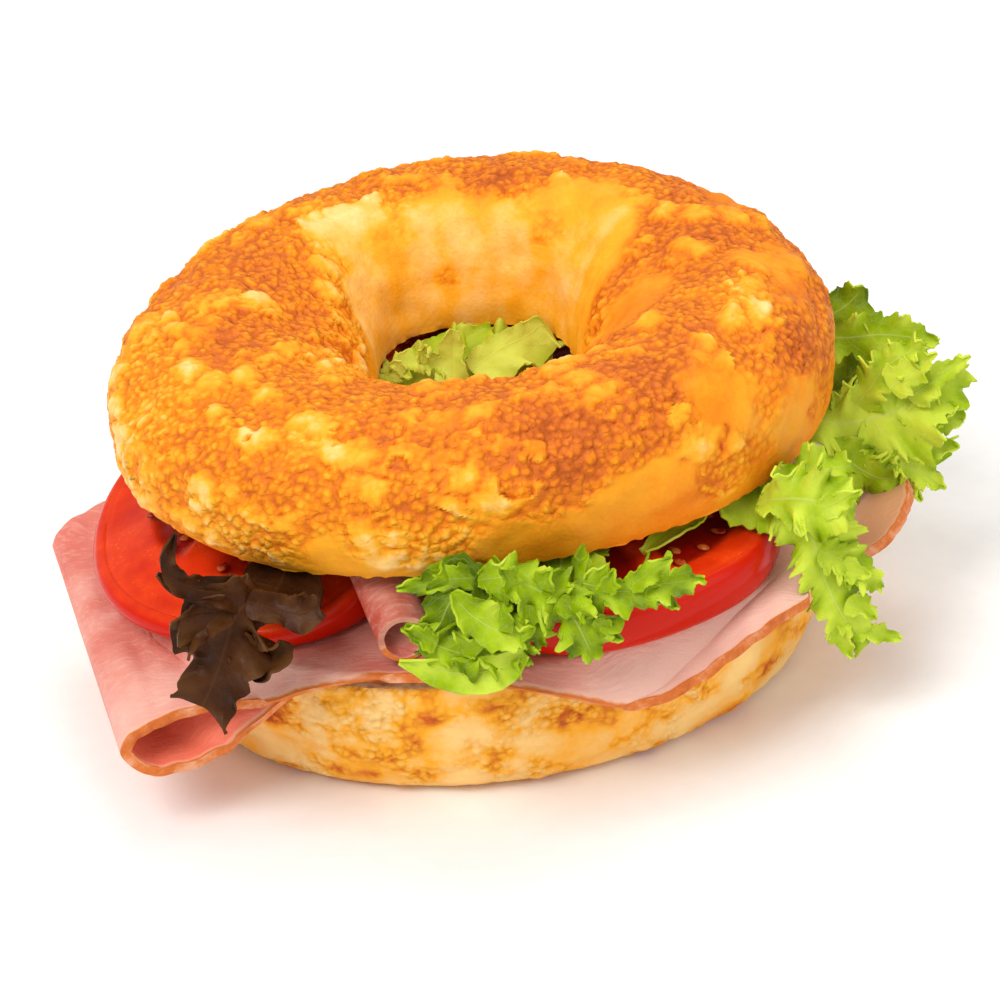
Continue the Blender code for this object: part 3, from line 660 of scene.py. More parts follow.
def top_outline(radius, angle, outer_steps, inner_steps, cut_steps):
    """One slice of the upper half: its points with their outward directions and share of the way."""
    outer = radius + uneven_radius(angle)
    hole = hole_radius(angle)
    rise = (TOP_HEIGHT - SHOULDER_HEIGHT) * (1 + 0.08 * math.cos(angle))
    widest = TOP_LEVEL + SHOULDER_HEIGHT
    direction = heading(angle)
    power = 2.3
    start = -math.asin((SHOULDER_HEIGHT / rise) ** (power / 2))
    loop = []
    for k in range(outer_steps):
        turn = start + (math.pi / 2 - start) * k / outer_steps
        across, up = superellipse(turn, power)
        reach = CREST_RADIUS + (outer - CREST_RADIUS) * across
        loop.append((reach, widest + rise * up, across, up, 0.5 * k / outer_steps))
    height = SHOULDER_HEIGHT + rise
    for k in range(inner_steps + 1):
        turn = math.pi / 2 * (1 - k / inner_steps)
        across, up = superellipse(turn, 2.0)
        reach = CREST_RADIUS - (CREST_RADIUS - hole) * across
        loop.append((reach, TOP_LEVEL + height * up, -across, up, 0.5 + 0.5 * k / inner_steps))
    for k in range(1, cut_steps):
        part = k / cut_steps
        loop.append((hole + (loop[0][0] - hole) * part, TOP_LEVEL, 0.0, -1.0, 2.0))
    return [(direction * reach + Vector((0, 0, level)),
             (direction * side + Vector((0, 0, up))).normalized(), share)
            for reach, level, side, up, share in loop]


def wrap_ring(name, rows, painted):
    """A grid bent round into a closed ring of closed slices, with what the material reads."""
    rows = [row + row[:1] for row in rows + rows[:1]]
    painted = [marks + marks[:1] for marks in painted + painted[:1]]
    return add_sheet(name, rows, "bake", painted)


def set_crumb_faces(ring, around, rows):
    """The cut face gets the second material."""
    for face in ring.data.polygons:
        if all(index // (around + 1) in rows for index in face.vertices):
            face.material_index = 1


class SANDWICH_OT_top_half(bpy.types.Operator):
    """Model the upper bagel half with its crust of baked cheese"""
    bl_idname = "sandwich.top_half"
    bl_label = "Upper Half"

    def execute(self, context):
        settings = context.scene.sandwich_bun
        noise.seed_set(CRUST_SEED)
        around, outer_steps, inner_steps, cut_steps = 600, 92, 62, 10
        section = outer_steps + inner_steps + cut_steps
        patch_steps = 50
        centres = []
        for degrees, share, width, cheese, brown in TOP_PATCHES:
            outline = top_outline(settings.radius, math.radians(degrees), patch_steps, patch_steps, 2)
            centres.append((outline[round(share * 2 * patch_steps)][0], width, cheese, brown))
        rows, painted = [], []
        for i in range(around):
            angle = 2 * math.pi * i / around
            outline = top_outline(settings.radius, angle, outer_steps, inner_steps, cut_steps)
            wall_start = wall_share(angle)
            row, marks = [], []
            for point, outward, share in outline:
                if share > 1.5:
                    sponge = 0.35 * MM * ripple_at(point, 2.0)
                    row.append(point + Vector((0, 0, max(sponge, 0.0))))
                    marks.append((0.0, 0.2, 0.0))
                    continue
                above = point.z - TOP_LEVEL
                lift = smooth_step(0.0, 6 * MM, above)
                inside = smooth_step(wall_start - 0.06, wall_start + 0.10, share)
                left = 0.5 - 0.5 * math.cos(angle - math.radians(15))
                slow = ripple_at(point, 13) + 0.5 * ripple_at(point, 5)
                cheese, brown = patch_sum(point, centres)
                level = above / TOP_HEIGHT
                want = 0.15 + 0.6 * left + 0.6 * slow + 0.6 * smooth_step(0.15, 0.8, level) - 1.1 * inside
                cover = smooth_step(0.1, 0.8, want + cheese) * smooth_step(0.2 * MM, 3.5 * MM, above)
                clusters = smooth_step(-0.25, 0.45, ripple_at(point, 8, (2, 9, 4)))
                lumpy = 0.12 + 0.75 * clusters * (0.25 + 0.75 * left) + 0.5 * max(-brown * 4, 0.0)
                large, middle, small, luck = crumb_field(point, angle, min(lumpy, 0.85))
                raised = cover * (0.95 * large + 0.5 * middle + 0.24 * small)
                raised += (1 - cover) * 0.18 * middle * smooth_step(0.2, 0.6, level)
                reach = math.hypot(point.x, point.y)
                # Fine wrinkles along the ring on the smooth crust, and slow folds down the hole's wall
                along_ring = noise.noise(Vector((reach / (2.4 * MM), angle * 5.0, point.z / (9 * MM))))
                wrinkle = (1 - inside) * 0.22 * MM * along_ring
                folds = noise.noise(Vector((angle * 9, point.z / (22 * MM), 4)))
                wrinkle += inside * 0.3 * MM * folds
                point = point + outward * (relief(point) * 1.5 * lift + wrinkle * lift
                                           + settings.crumb_height * (raised - 0.55 * cover))
                if share == 0.0 or above < 0.01 * MM:
                    point += outward * 0.5 * MM * ripple_at(point, 1.6)
                row.append(point)
                base = 0.39 + 0.13 * ripple_at(point, 15, (5, 1, 2))
                base += 0.12 * (smooth_step(0.3, 0.9, level) - 0.4) - 0.05 * left
                # Painted shade: browner low on the smooth outer crust, where it turns under towards the cut
                # face
                base += 0.12 * (1 - cover) * smooth_step(0.6, 0.15, level) * (1 - inside)
                # Painted shade in the hole: its wall is paler near the top and browner deeper down, and it
                # also varies with the slow folds
                base -= inside * (0.04 + 0.17 * level - 0.07 * folds)
                # Painted shade: darker in the sunk parts of the fine wrinkles on the smooth crust
                base += (1 - cover) * 0.10 * max(-along_ring, 0.0) * (1 - inside)
                tone = bake_tone(cover, large, middle, small, luck, base + brown)
                marks.append((cover, tone, min(large * 1.3, 1.0)))
            rows.append(row)
            painted.append(marks)
        half = wrap_ring("crust_top", rows, painted)
        crust = baked_crust("baked_cheese_crust",
                            [(0.0, settings.pale), (0.22, settings.golden), (0.46, settings.orange),
                             (0.72, settings.brown), (1.0, settings.dark)], 0.34, 6.0, 0.45)
        half.data.materials.append(crust)
        half.data.materials.append(cut_bread("cut_bread_top", settings.crumb))
        set_crumb_faces(half, around, range(outer_steps + inner_steps, section + 1))
        weld(half, BUN_WELD)
        smooth(half, 60)
        settle(half, "bun_top")
        return {"FINISHED"}


def bottom_swell(angle):
    """How far the lower half leaves a true circle."""
    return 0.6 * uneven_radius(angle)


def bottom_outline(angle, outer_steps, cut_steps, inner_steps, base_steps):
    """One slice of the lower half: side, cut face, hole and flat base."""
    swell = bottom_swell(angle)
    direction = heading(angle)
    loop = []
    for k in range(outer_steps + 1):
        rise = (k / outer_steps) ** 1.25
        belly = math.sin(math.pi * min((k / outer_steps) * 0.9 + 0.1, 1.0)) ** 0.5
        reach = BASE_RADIUS + (CUT_RADIUS - BASE_RADIUS) * (k / outer_steps) ** 0.45
        reach += BELLY * belly * k / outer_steps + swell
        loop.append((reach, BOTTOM_HEIGHT * rise, 1.0, 0.0))
    rim = loop[-1][0]
    flare = 5 * MM
    for k in range(1, cut_steps):
        part = k / cut_steps
        loop.append((rim + (BOTTOM_HOLE_RADIUS - rim) * part, BOTTOM_HEIGHT, 0.0, 1.0))
    for k in range(inner_steps + 1):
        fall = 1 - k / inner_steps
        loop.append((BOTTOM_HOLE_RADIUS + flare * (1 - fall) ** 2, BOTTOM_HEIGHT * fall, -1.0, 0.0))
    hole = loop[-1][0]
    for k in range(1, base_steps):
        part = k / base_steps
        loop.append((hole + (loop[0][0] - hole) * part, 0.0, 0.0, -1.0))
    return [(direction * reach + BOTTOM_SHIFT + Vector((0, 0, level)),
             direction * side + Vector((0, 0, up))) for reach, level, side, up in loop]


def clear_of_edges(level, width):
    """0 at the lower half's base and cut face, 1 from this far inside."""
    return smooth_step(0.0, width, level) * smooth_step(0.0, width, BOTTOM_HEIGHT - level)


class SANDWICH_OT_bottom_half(bpy.types.Operator):
    """Model the lower bagel half with its paler crust"""
    bl_idname = "sandwich.bottom_half"
    bl_label = "Lower Half"

    def execute(self, context):
        settings = context.scene.sandwich_bun
        noise.seed_set(CRUST_SEED)
        around, outer_steps, cut_steps, inner_steps, base_steps = 500, 60, 16, 24, 18
        rows, painted = [], []
        for i in range(around):
            angle = 2 * math.pi * i / around
            outline = bottom_outline(angle, outer_steps, cut_steps, inner_steps, base_steps)
            row, marks = [], []
            for point, outward in outline:
                level = point.z / BOTTOM_HEIGHT
                if abs(outward.z) > 0.5:
                    sponge = 0.25 * MM * max(ripple_at(point, 2.0), 0.0)
                    row.append(point - outward * sponge)
                    marks.append((0.1, 0.42 if outward.z < 0 else 0.2, 0.0))
                    continue
                lift = clear_of_edges(point.z, 4 * MM)
                slow = ripple_at(point, 10, (3, 8, 2))
                want = 0.25 + 0.8 * slow + 0.6 * ripple_at(point, 4.0)
                want += 0.35 * smooth_step(0.4, 0.95, level)
                cover = smooth_step(0.0, 0.8, want)
                large, middle, small, luck = crumb_field(point, angle, 0.5)
                raised = cover * (0.4 * large + 0.55 * middle + 0.2 * small - 0.3)
                raised += (1 - cover) * 0.12 * middle
                # Creases run along the side where the dough spread
                creases = noise.noise(Vector((angle * 6, point.z / (2.8 * MM), 9)))
                creases += 0.6 * noise.noise(Vector((angle * 15, point.z / (1.5 * MM), 3)))
                edge = clear_of_edges(point.z, 1.2 * MM)
                tuck = 1.1 * MM * (1 - smooth_step(0.0, 2.5 * MM, point.z)) ** 2
                shift = (relief(point) * lift + settings.crumb_height * raised * edge
                         + 0.35 * MM * creases * edge - tuck * (1 if outward.dot(point) > 0 else 0))
                row.append(point + outward * shift)
                baked_edge = smooth_step(0.14, 0.0, level)
                base = 0.31 + 0.42 * ripple_at(point, 8, (1, 4, 2))
                # More browning where cheese lies; painted shade in the sunk parts of the creases
                base += 0.10 * cover + 0.12 * max(-creases, 0.0)
                base += 0.34 * baked_edge * (0.5 + ripple_at(point, 6))
                marks.append((cover, bake_tone(cover, 0.6 * large, middle, small, luck, base), 0.7 * large))
            rows.append(row)
            painted.append(marks)
        half = wrap_ring("crust_bottom", rows, painted)
        crust = baked_crust("pale_baked_crust",
                            [(0.0, settings.pale), (0.24, settings.cream), (0.5, settings.golden),
                             (0.76, settings.brown), (1.0, settings.dark)], 0.5, 4.5, 0.42)
        half.data.materials.append(crust)
        half.data.materials.append(cut_bread("cut_bread_bottom", settings.crumb))
        set_crumb_faces(half, around, range(outer_steps, outer_steps + cut_steps + 1))
        weld(half, BUN_WELD)
        smooth(half, 60)
        settle(half, "bun_bottom")
        return {"FINISHED"}


# Ham

# Places on the large slice's hidden back edge and its front edge, from the tucked end round the fold
HAM_BACK = [at(-36, 4, 23.6), at(-50, 3, 23.6), at(-60, 1.5, 21.7), at(-67, -0.5, 20.4),
            at(-70.5, -3, 20.6), at(-72, -5, 22.2), at(-70.5, -2.5, 23.8), at(-66, 1, 24.5),
            at(-58, 7, 25.4), at(-50, 20, 25.6), at(-40, 38, 25.6), at(-24, 51, 25.6), at(-8, 56, 25.6),
            at(8, 56, 25.6), at(22, 52, 25.6), at(34, 44, 25.6), at(42, 36, 25.6), at(48, 29, 25.6),
            at(51, 22, 25.6), at(53, 14, 25.6)]
HAM_FRONT = [at(-32, -54.5, 19.1), at(-38, -55.5, 16.8), at(-44, -56.5, 13.9), at(-50.5, -57.3, 12.0),
             at(-55, -57.8, 12.6), at(-58, -58, 16.2), at(-56, -57.8, 19.2), at(-52, -56.9, 20.8),
             at(-46, -55.4, 21.3), at(-39, -55, 21.3), at(-32, -55.8, 21.2), at(-22, -57.2, 21.9),
             at(-12, -58.6, 22), at(0, -60.4, 20.8), at(12, -61.6, 19.5), at(22, -61.4, 19.5),
             at(30, -59.5, 22), at(36, -56.5, 24.4), at(42, -52, 25.5), at(48, -47, 25.6)]
FOLD_TURN = 5                # the place at the fold's turn: the slice lies on itself from there on
DRAPE_START = 1.8 * MM       # how far past the rim the ham starts to hang


def past_rim(point):
    """How far a point stands outside the rim of the lower half's cut face."""
    x = point.x - BOTTOM_SHIFT.x
    y = point.y - BOTTOM_SHIFT.y
    return math.hypot(x, y) - CUT_RADIUS - bottom_swell(math.atan2(y, x))


def rim_share(back, front):
    """Where the line from a slice's back edge to its front edge last leaves the bagel's rim."""
    tries, least, most = 200, 0.3, 0.97
    for k in range(tries, 0, -1):
        if past_rim(back.lerp(front, k / tries)) < DRAPE_START:
            return min(max(k / tries, least), most)
    return 0.5


def ham_painted_light(point):
    """Painted light: the meat is painted paler towards the right, and low on the fold at the left."""
    right = 0.95 * smooth_step(-6 * MM, 36 * MM, point.x)
    fold = 0.4 * smooth_step(-22 * MM, -45 * MM, point.x) * smooth_step(-34 * MM, -57 * MM, point.y)
    return right + fold


def lay_ham(name, points, painted, thickness, meat, rind):
    """A ham slice from its painted sheet: thickened, and its rim browned."""
    sheet = add_sheet(name, points, "slice", painted)
    sheet.data.materials.append(meat)
    sheet.data.materials.append(rind)
    finish_modifier(sheet, "SOLIDIFY", thickness=thickness, offset=0.0, material_offset_rim=1)
    smooth(sheet, 50)
    return sheet


class SANDWICH_OT_folded_ham(bpy.types.Operator):
    """Model the large ham slice, folded back under itself on the left"""
    bl_idname = "sandwich.folded_ham"
    bl_label = "Folded Ham"

    def execute(self, context):
        settings = context.scene.sandwich_ham
        stations, inner_steps, outer_steps = 300, 26, 30
        browned_end = 2        # the first stations are the slice's own end, and browned
        points, painted = [], []
        for i in range(stations + 1):
            part = i / stations
            back = spline(HAM_BACK, part)
            front = spline(HAM_FRONT, part)
            level = LOWER_HAM_LEVEL if part * (len(HAM_BACK) - 1) < FOLD_TURN else UPPER_HAM_LEVEL
            rim = rim_share(back, front)
            shares = [rim * j / inner_steps for j in range(inner_steps)]
            shares += [rim + (1 - rim) * j / outer_steps for j in range(outer_steps + 1)]
            # Painted glow: the inside of the fold is painted coral, as if lit through the meat
            coral = 1.2 * smooth_step(0.28, 0.24, part)
            row, marks = [], []
            for share in shares:
                point = back.lerp(front, share)
                lowest = level - 1.1 * max(past_rim(point) - DRAPE_START, 0.0)
                point.z = max(point.z, lowest)
                free = smooth_step(2 * MM, 7 * MM, past_rim(point))
                ripple = noise.noise(Vector((part * 34, share * 3, 1))) + 0.5 * ripple_at(point, 5)
                point.z += 0.45 * MM * free * ripple
                inwards = (1 - share) * (front - back).length / MM if i > browned_end else 0.0
                row.append(point)
                marks.append((ham_painted_light(point) - coral, inwards, 0.0))
            points.append(row)
            painted.append(marks)
        meat = cooked_ham("cooked_ham", settings, settings.pink)
        rind = ham_rind("ham_rind", settings)
        sheet = lay_ham("ham_folded", points, painted, settings.thickness, meat, rind)
        settle(sheet, "ham_fold")
        return {"FINISHED"}


class SANDWICH_OT_right_ham(bpy.types.Operator):
    """Model the lower ham slice, whose browned flap stands out at the right"""
    bl_idname = "sandwich.right_ham"
    bl_label = "Right Ham"

    def execute(self, context):
        settings = context.scene.sandwich_ham
        reach = [(-62, 54), (-50, 56.5), (-41, 59), (-34, 64), (-27, 70), (-18, 71), (-9, 69),
                 (-2, 63.5), (8, 56)]
        edge = [Vector((angle, radius, 0)) for angle, radius in reach]
        steps, in_steps, inner_radius = 150, 50, 24
        points, painted = [], []
        for i in range(steps, -1, -1):
            spot = spline(edge, i / steps)
            direction = heading(math.radians(spot.x))
            nick = 0.5 * noise.noise(Vector((i * 0.13, 2, 7)))
            nick += 0.25 * noise.noise(Vector((i * 0.45, 5, 1)))
            row, marks = [], []
            for j in range(in_steps + 1):
                share = (j / in_steps) ** 0.7
                radius = inner_radius + (spot.y + nick - inner_radius) * share
                beyond = max(radius - 60.0, 0.0)
                curl = 0.025 * beyond ** 2 + 0.5 * beyond / 11 * math.sin(spot.x / 4)
                curl += 0.35 * beyond / 8 * noise.noise(Vector((i * 0.06, radius * 0.2, 3)))
                point = direction * radius * MM + Vector((0, 0, LOWER_HAM_LEVEL + curl * MM))
                smoke = smooth_step(56 * MM, 66 * MM, math.hypot(point.x, point.y)) * 0.85
                row.append(point)
                marks.append((ham_painted_light(point), spot.y + nick - radius, smoke))
            points.append(row)
            painted.append(marks)
        meat = cooked_ham("smoked_ham", settings, settings.pale)
        rind = ham_rind("smoked_rind", settings)
        sheet = lay_ham("ham_flap", points, painted, settings.thickness, meat, rind)
        settle(sheet, "ham_right")
        return {"FINISHED"}


class SANDWICH_OT_rolled_ham(bpy.types.Operator):
    """Model the rolled ham slice between the two front tomato slices"""
    bl_idname = "sandwich.rolled_ham"
    bl_label = "Rolled Ham"

    def execute(self, context):
        settings = context.scene.sandwich_ham
        mouth = at(-14.0, -57.5, 31.7)
        tail = at(-18.3, -44.5, 37.6)
        length = (tail - mouth).length / MM
        turns, outer, inner, flattened, thickness = 1.25, 4.7 * MM, 2.6 * MM, 0.5, 1.0 * MM
        around_steps, along_steps, rind_width = 150, 40, 0.6
        points, painted = [], []
        for i in range(around_steps + 1):
            part = i / around_steps
            angle = math.radians(285) + 2 * math.pi * turns * part
            radius = outer + (inner - outer) * part
            row, marks = [], []
            for j in range(along_steps + 1):
                along = j / along_steps
                squeeze = 1 - (1 - flattened) * along
                swell = 1 + 0.03 * noise.noise(Vector((math.cos(angle), math.sin(angle), along)) * 2)
                offset = Vector((math.cos(angle), 0, math.sin(angle) * squeeze)) * radius * swell
                row.append(mouth.lerp(tail, along) + offset)
                marks.append((0.0, length * j / along_steps + rind_width, 0.0))
            points.append(row)
            painted.append(marks)
        # The roll's meat is painted darker, as painted shade under the upper half
        meat = cooked_ham("rolled_ham", settings, settings.roll_pink_in_shade)
        rind = ham_rind("rolled_rind", settings)
        sheet = lay_ham("ham_rolled", points, painted, thickness, meat, rind)
        # Only the rim of the roll's mouth is browned
        axis = (tail - mouth).normalized()
        for face in sheet.data.polygons:
            if (face.center - mouth).dot(axis) > rind_width * MM:
                face.material_index = 0
        settle(sheet, "ham_roll")
        return {"FINISHED"}


# Tomato slices

class SANDWICH_OT_tomatoes(bpy.types.Operator):
    """Model the three tomato slices with their seed chambers and seeds"""
    bl_idname = "sandwich.tomatoes"
    bl_label = "Tomato Slices"

    def execute(self, context):
        settings = context.scene.sandwich_tomato
        level = TOMATO_LEVEL / MM + TOMATO_SOLID / MM / 2
        flesh = wet_tomato("wet_tomato", settings)
        seed = tomato_seed("tomato_seed", settings)
        slices = (
            dict(node="tomato_left", middle=at(-33.5, -18.5, level), radius=31.2 * MM, pressed_side=-5,
                 depth=7.6 * MM, start=0.72, wall=0.66, droop=5.2 * MM, droop_side=222,
                 flesh_over=0.25),
            dict(node="tomato_right", middle=at(15, -28.8, level), radius=30.4 * MM, pressed_side=175,
                 depth=7.6 * MM, start=1.9, wall=0.80, droop=1.0 * MM, droop_side=-60,
                 flesh_over=0.05),
            dict(node="tomato_back", middle=at(9, 34, level), radius=28.5 * MM, pressed_side=-90,
                 depth=1.5 * MM, start=3.1, wall=0.82, droop=0.6 * MM, droop_side=90,
                 flesh_over=0.05))
        for cut in slices:
            model_tomato(cut, flesh, seed)
        return {"FINISHED"}


def chamber(share, angle, start, wall):
    """How deep in one of the seed chambers a place on the cut face is, 0 to 1."""
    chambers = 5
    turn = (angle * chambers / (2 * math.pi) + start + 0.12 * math.sin(2 * angle + start)) % 1.0
    fence = abs(2 * turn - 1)
    side = smooth_step(0.93, 0.72, fence + 0.12 / max(share, 0.2) - 0.12)
    return side * smooth_step(0.22, 0.34, share) * smooth_step(wall + 0.06, wall - 0.02, share)


def model_tomato(cut, flesh, seed):
    """One slice: a disc with rounded skin, bevelled cut edges and sunken chambers."""
    middle, radius, start = cut["middle"], cut["radius"], cut["start"]
    around, face_steps, side_steps = 220, 46, 26
    half, bevel, chamber_depth, face_round = TOMATO_SOLID / 2, 2.2 * MM, 0.9 * MM, 0.25 * MM
    points, painted = [], []
    for i in range(around + 1):
        angle = 2 * math.pi * (i % around) / around
        direction = heading(angle)
        wobble = 0.5 * MM * math.sin(3 * angle + start) + 0.35 * MM * math.sin(5 * angle + 2 * start)
        facing = max(math.cos(angle - math.radians(cut["pressed_side"])), 0.0)
        outer_side = smooth_step(-0.1, 0.75, math.cos(angle - math.radians(cut["droop_side"])))
        droop = cut["droop"] * outer_side
        reach = radius + wobble - cut["depth"] * facing ** 2
        rim = reach - bevel
        row, marks = [], []
        for j in range(face_steps + side_steps + face_steps + 1):
            if j <= face_steps or j >= face_steps + side_steps:
                step = j if j <= face_steps else 2 * face_steps + side_steps - j
                share = step / face_steps
                up = 1 if j <= face_steps else -1
                sunk = chamber(share * rim / reach * 1.05, angle, start, cut["wall"])
                place = middle + direction * rim * share
                lump = 0.25 * MM * ripple_at(place, 3) * sunk
                eased = face_round * smooth_step(0.975, 1.0, share)
                fall = droop * smooth_step(0.5, 1.06, share) if up > 0 else 0.0
                place = place + Vector((0, 0, up * (half - chamber_depth * sunk + lump - eased) - fall))
                marks.append((1.0, sunk, smooth_step(0.965, 0.995, share)))
            else:
                turn = math.pi * ((j - face_steps) / side_steps - 0.5)
                bulge = reach - bevel * (1 - math.cos(turn) ** 0.8)
                fall = droop * smooth_step(0.5, 1.06, 1.0) * (0.5 - 0.5 * math.sin(turn))
                place = middle + direction * bulge - Vector((0, 0, half * math.sin(turn) + fall))
                from_edge = min(j - face_steps, face_steps + side_steps - j)
                near = smooth_step(3, 0, from_edge)
                down = (j - face_steps) / side_steps
                over = smooth_step(cut["flesh_over"] + 0.14, cut["flesh_over"] - 0.1, down)
                marks.append((over, 0.0, near))
            row.append(place)
        points.append(row)
        painted.append(marks)
    node = cut["node"]
    sheet = add_sheet(node + "_slice", points, "cut", painted)
    weld(sheet, TOMATO_WELD)
    sheet.data.materials.append(flesh)
    smooth(sheet, 60)
    seeds = scatter_seeds(cut, seed)
    joined = join([sheet] + seeds, node + "_slice")
    settle(joined, node)


def scatter_seeds(cut, material):
    """Flat drop-shaped seeds sunk in the chambers, pointed towards the core."""
    node, middle, radius, start = cut["node"], cut["middle"], cut["radius"], cut["start"]
    seeds = []
    seed_size, long_by, wide_by, flat_by = 1.0 * MM, 1.3, 0.8, 0.4
    top = middle.z + TOMATO_SOLID / 2 - seed_size
    for ring, share in enumerate((0.42, 0.53, 0.64, 0.74)):
        count = 12 + 5 * ring
        for k in range(count):
            angle = 2 * math.pi * (k + 0.3 * noise.noise(Vector((k, ring, start)))) / count
            deep = chamber(share, angle, start, cut["wall"])
            if deep < 0.6 or luck_at(Vector((k + 0.5, ring + 0.5, start))) > 0.7:
                continue
            bpy.ops.object.select_all(action="DESELECT")
            spot = Vector((middle.x + math.cos(angle) * radius * share,
                           middle.y + math.sin(angle) * radius * share, top))
            bpy.ops.mesh.primitive_uv_sphere_add(segments=12, ring_count=8, radius=seed_size, location=spot)
            one = bpy.context.object
            one.name = f"{node}_seed"
            for vertex in one.data.vertices:
                long = vertex.co.x / MM
                narrow = 1 - 0.45 * smooth_step(-0.2, 1.0, -long)
                vertex.co = Vector((long * long_by, vertex.co.y / MM * wide_by * narrow,
                                    vertex.co.z / MM * flat_by)) * MM
            one.rotation_euler = (0.0, 0.0, angle)
            one.data.materials.append(material)
            bpy.ops.object.transform_apply(location=True, rotation=True, scale=True)
            smooth(one, 80)
            seeds.append(one)
    return seeds


# Salad leaves

UP = Vector((0.0, 0.0, 1.0))
OUT = Vector((0.0, -0.5, 0.8))
FRONT = Vector((0.0, -0.86, 0.51))
FRONT_LEFT = Vector((-0.5, -0.75, 0.45))
FRONT_RIGHT = Vector((0.5, -0.75, 0.45))
FRONT_HIGH = Vector((0.0, -0.55, 0.83))
FRONT_LOW = Vector((0.0, -0.98, 0.05))
BACK = Vector((-0.3, 0.8, 0.5))
BACK_LEFT = Vector((-0.6, 0.6, 0.5))


def pressed(point):
    """A leaf's point, held between the tomato and the upper half where it lies inside the sandwich."""
    reach = math.hypot(point.x, point.y)
    angle = math.atan2(point.y, point.x) % (2 * math.pi)
    rim = uneven_radius(angle) + CUT_RADIUS
    hole = hole_radius(angle)
    inside = 1 - smooth_step(rim - 1.0 * MM, rim + 2.5 * MM, reach)
    inside *= smooth_step(hole - 3.5 * MM, hole - 0.5 * MM, reach)
    level = min(max(point.z, LEAF_LOW), LEAF_HIGH)
    return Vector((point.x, point.y, point.z + (level - point.z) * inside))


def blade(spine, faces, left, right=None, frill=1.3, wave=8.0, bite=1.3, tooth=2.8, dark=0.3, cup=0.6,
          stations=130):
    """One blade of a leaf: its rib in millimetres, which way it faces along the rib, how far it
    reaches to the left and right (alike where only one is given), and its ruffles and teeth."""
    return dict(spine=[at(*place) for place in spine], faces=faces, left=left, right=right or left,
                frill=frill, wave=wave, bite=bite, tooth=tooth, dark=dark, cup=cup, stations=stations)


def fingers(pairs, reach, dark):
    """Narrow lobes that stand out from a leaf's edge, each from its start to its tip."""
    leans = (FRONT_HIGH, FRONT_LEFT, FRONT, FRONT_RIGHT)
    made = []
    for number, (start, tip) in enumerate(pairs):
        middle = tuple((a + b) / 2 for a, b in zip(start, tip))
        faces = [FRONT, leans[number % len(leans)], FRONT]
        made.append(blade([start, middle, tip], faces, [reach, 0.68 * reach, 0.1], frill=0.8, wave=6.0,
                          bite=0.9, tooth=2.6, dark=dark, stations=60))
    return made


def tooth_at(along, spacing, seed):
    """A forward-leaning tooth of the margin: how far it stands out there, 0 to 1, and its luck."""
    turns = along / spacing + 0.35 * noise.noise(Vector((along / 6, seed, 2)))
    part = turns % 1.0
    luck = luck_at(Vector((math.floor(turns) + 0.5, seed, 7)))
    return (part / 0.68 if part < 0.68 else (1 - part) / 0.32), luck


def blade_rows(leaf, shade, seed):
    """The middle surface of a ruffled blade along its rib, and what the material reads there."""
    spine, faces = leaf["spine"], leaf["faces"]
    stations, side_steps = leaf["stations"], 14
    length = sum((spine[k + 1] - spine[k]).length for k in range(len(spine) - 1)) / MM
    rows = []
    painted = []
    for i in range(stations + 1):
        part = i / stations
        along = part * length
        place = spline(spine, part)
        ahead = spline(spine, min(part + 0.02, 1.0)) - spline(spine, max(part - 0.02, 0.0))
        ahead.normalize()
        face = spline(faces, part)
        side = ahead.cross(face).normalized()
        normal = side.cross(ahead)
        free = smooth_step(0.0, 5.0, along)
        row = []
        marks = []
        for j in range(-side_steps, side_steps + 1):
            across = j / side_steps
            spread = abs(across)
            hand = 1 if across > 0 else 0
            reach = max(spline(leaf["right"] if hand else leaf["left"], part), 0.15)
            stand, luck = tooth_at(along, leaf["tooth"], seed + 3.3 * hand)
            fine, _ = tooth_at(along, leaf["tooth"] * 0.37, seed + 3.3 * hand + 1.1)
            bite = 1.5 * leaf["bite"] * (0.35 + luck) * min(reach / 2.0, 1.0)
            # Notches part the margin into lobes
            lobe = abs(math.sin(math.pi * (along / leaf["wave"] + 0.4 * hand) + seed)) ** 0.6
            notch = 0.34 * min(leaf["bite"], 1.0) * (1 - lobe)
            width = reach * spread * (1.1 - notch * spread)
            width += bite * (stand + 0.3 * fine - 0.55) * spread ** 3
            turn = 2 * math.pi * along / leaf["wave"] + seed + 2.4 * hand
            turn += 1.3 * noise.noise(Vector((along / 9, seed * 2, hand)))
            frill = leaf["frill"] * min(reach / 4.0, 1.2) * free
            lift = frill * spread ** 1.6 * math.sin(turn) + leaf["cup"] * across ** 2
            lift += 0.45 * frill * spread ** 3 * math.sin(2.6 * turn + 1.0)
            sway = 0.35 * frill * spread ** 2 * math.cos(turn) + 0.5 * bite * stand * spread ** 3
            sway += 0.25 * reach * spread ** 1.5
            point = place + (side * math.copysign(width, across) + ahead * sway + normal * lift) * MM
            crinkle = ripple_at(point, 3.0) * 0.5 * spread + ripple_at(point, 1.5) * 0.14
            row.append(pressed(point + normal * crinkle * MM))
            # Painted shade: darker in the valleys of the ruffles, lighter on their crests
            valley = 0.5 - 0.5 * math.sin(turn)
            marks.append((across, along, leaf["dark"] + shade + 0.5 * (valley - 0.5) * spread * free))
        rows.append(row)
        painted.append(marks)
    return rows, painted


def model_leaf(name, blades, material, thickness, shade, seed):
    """One leaf from its blades, each a thin wavy sheet with its rib and margin painted."""
    sheets = []
    for number, leaf in enumerate(blades):
        rows, painted = blade_rows(leaf, shade, seed + 1.7 * number)
        sheet = add_sheet(name, rows, "blade", painted)
        finish_modifier(sheet, "SOLIDIFY", thickness=thickness, offset=0.0)
        sheets.append(sheet)
    whole = join(sheets, name)
    whole.data.materials.append(material)
    smooth(whole, 80)
    return whole


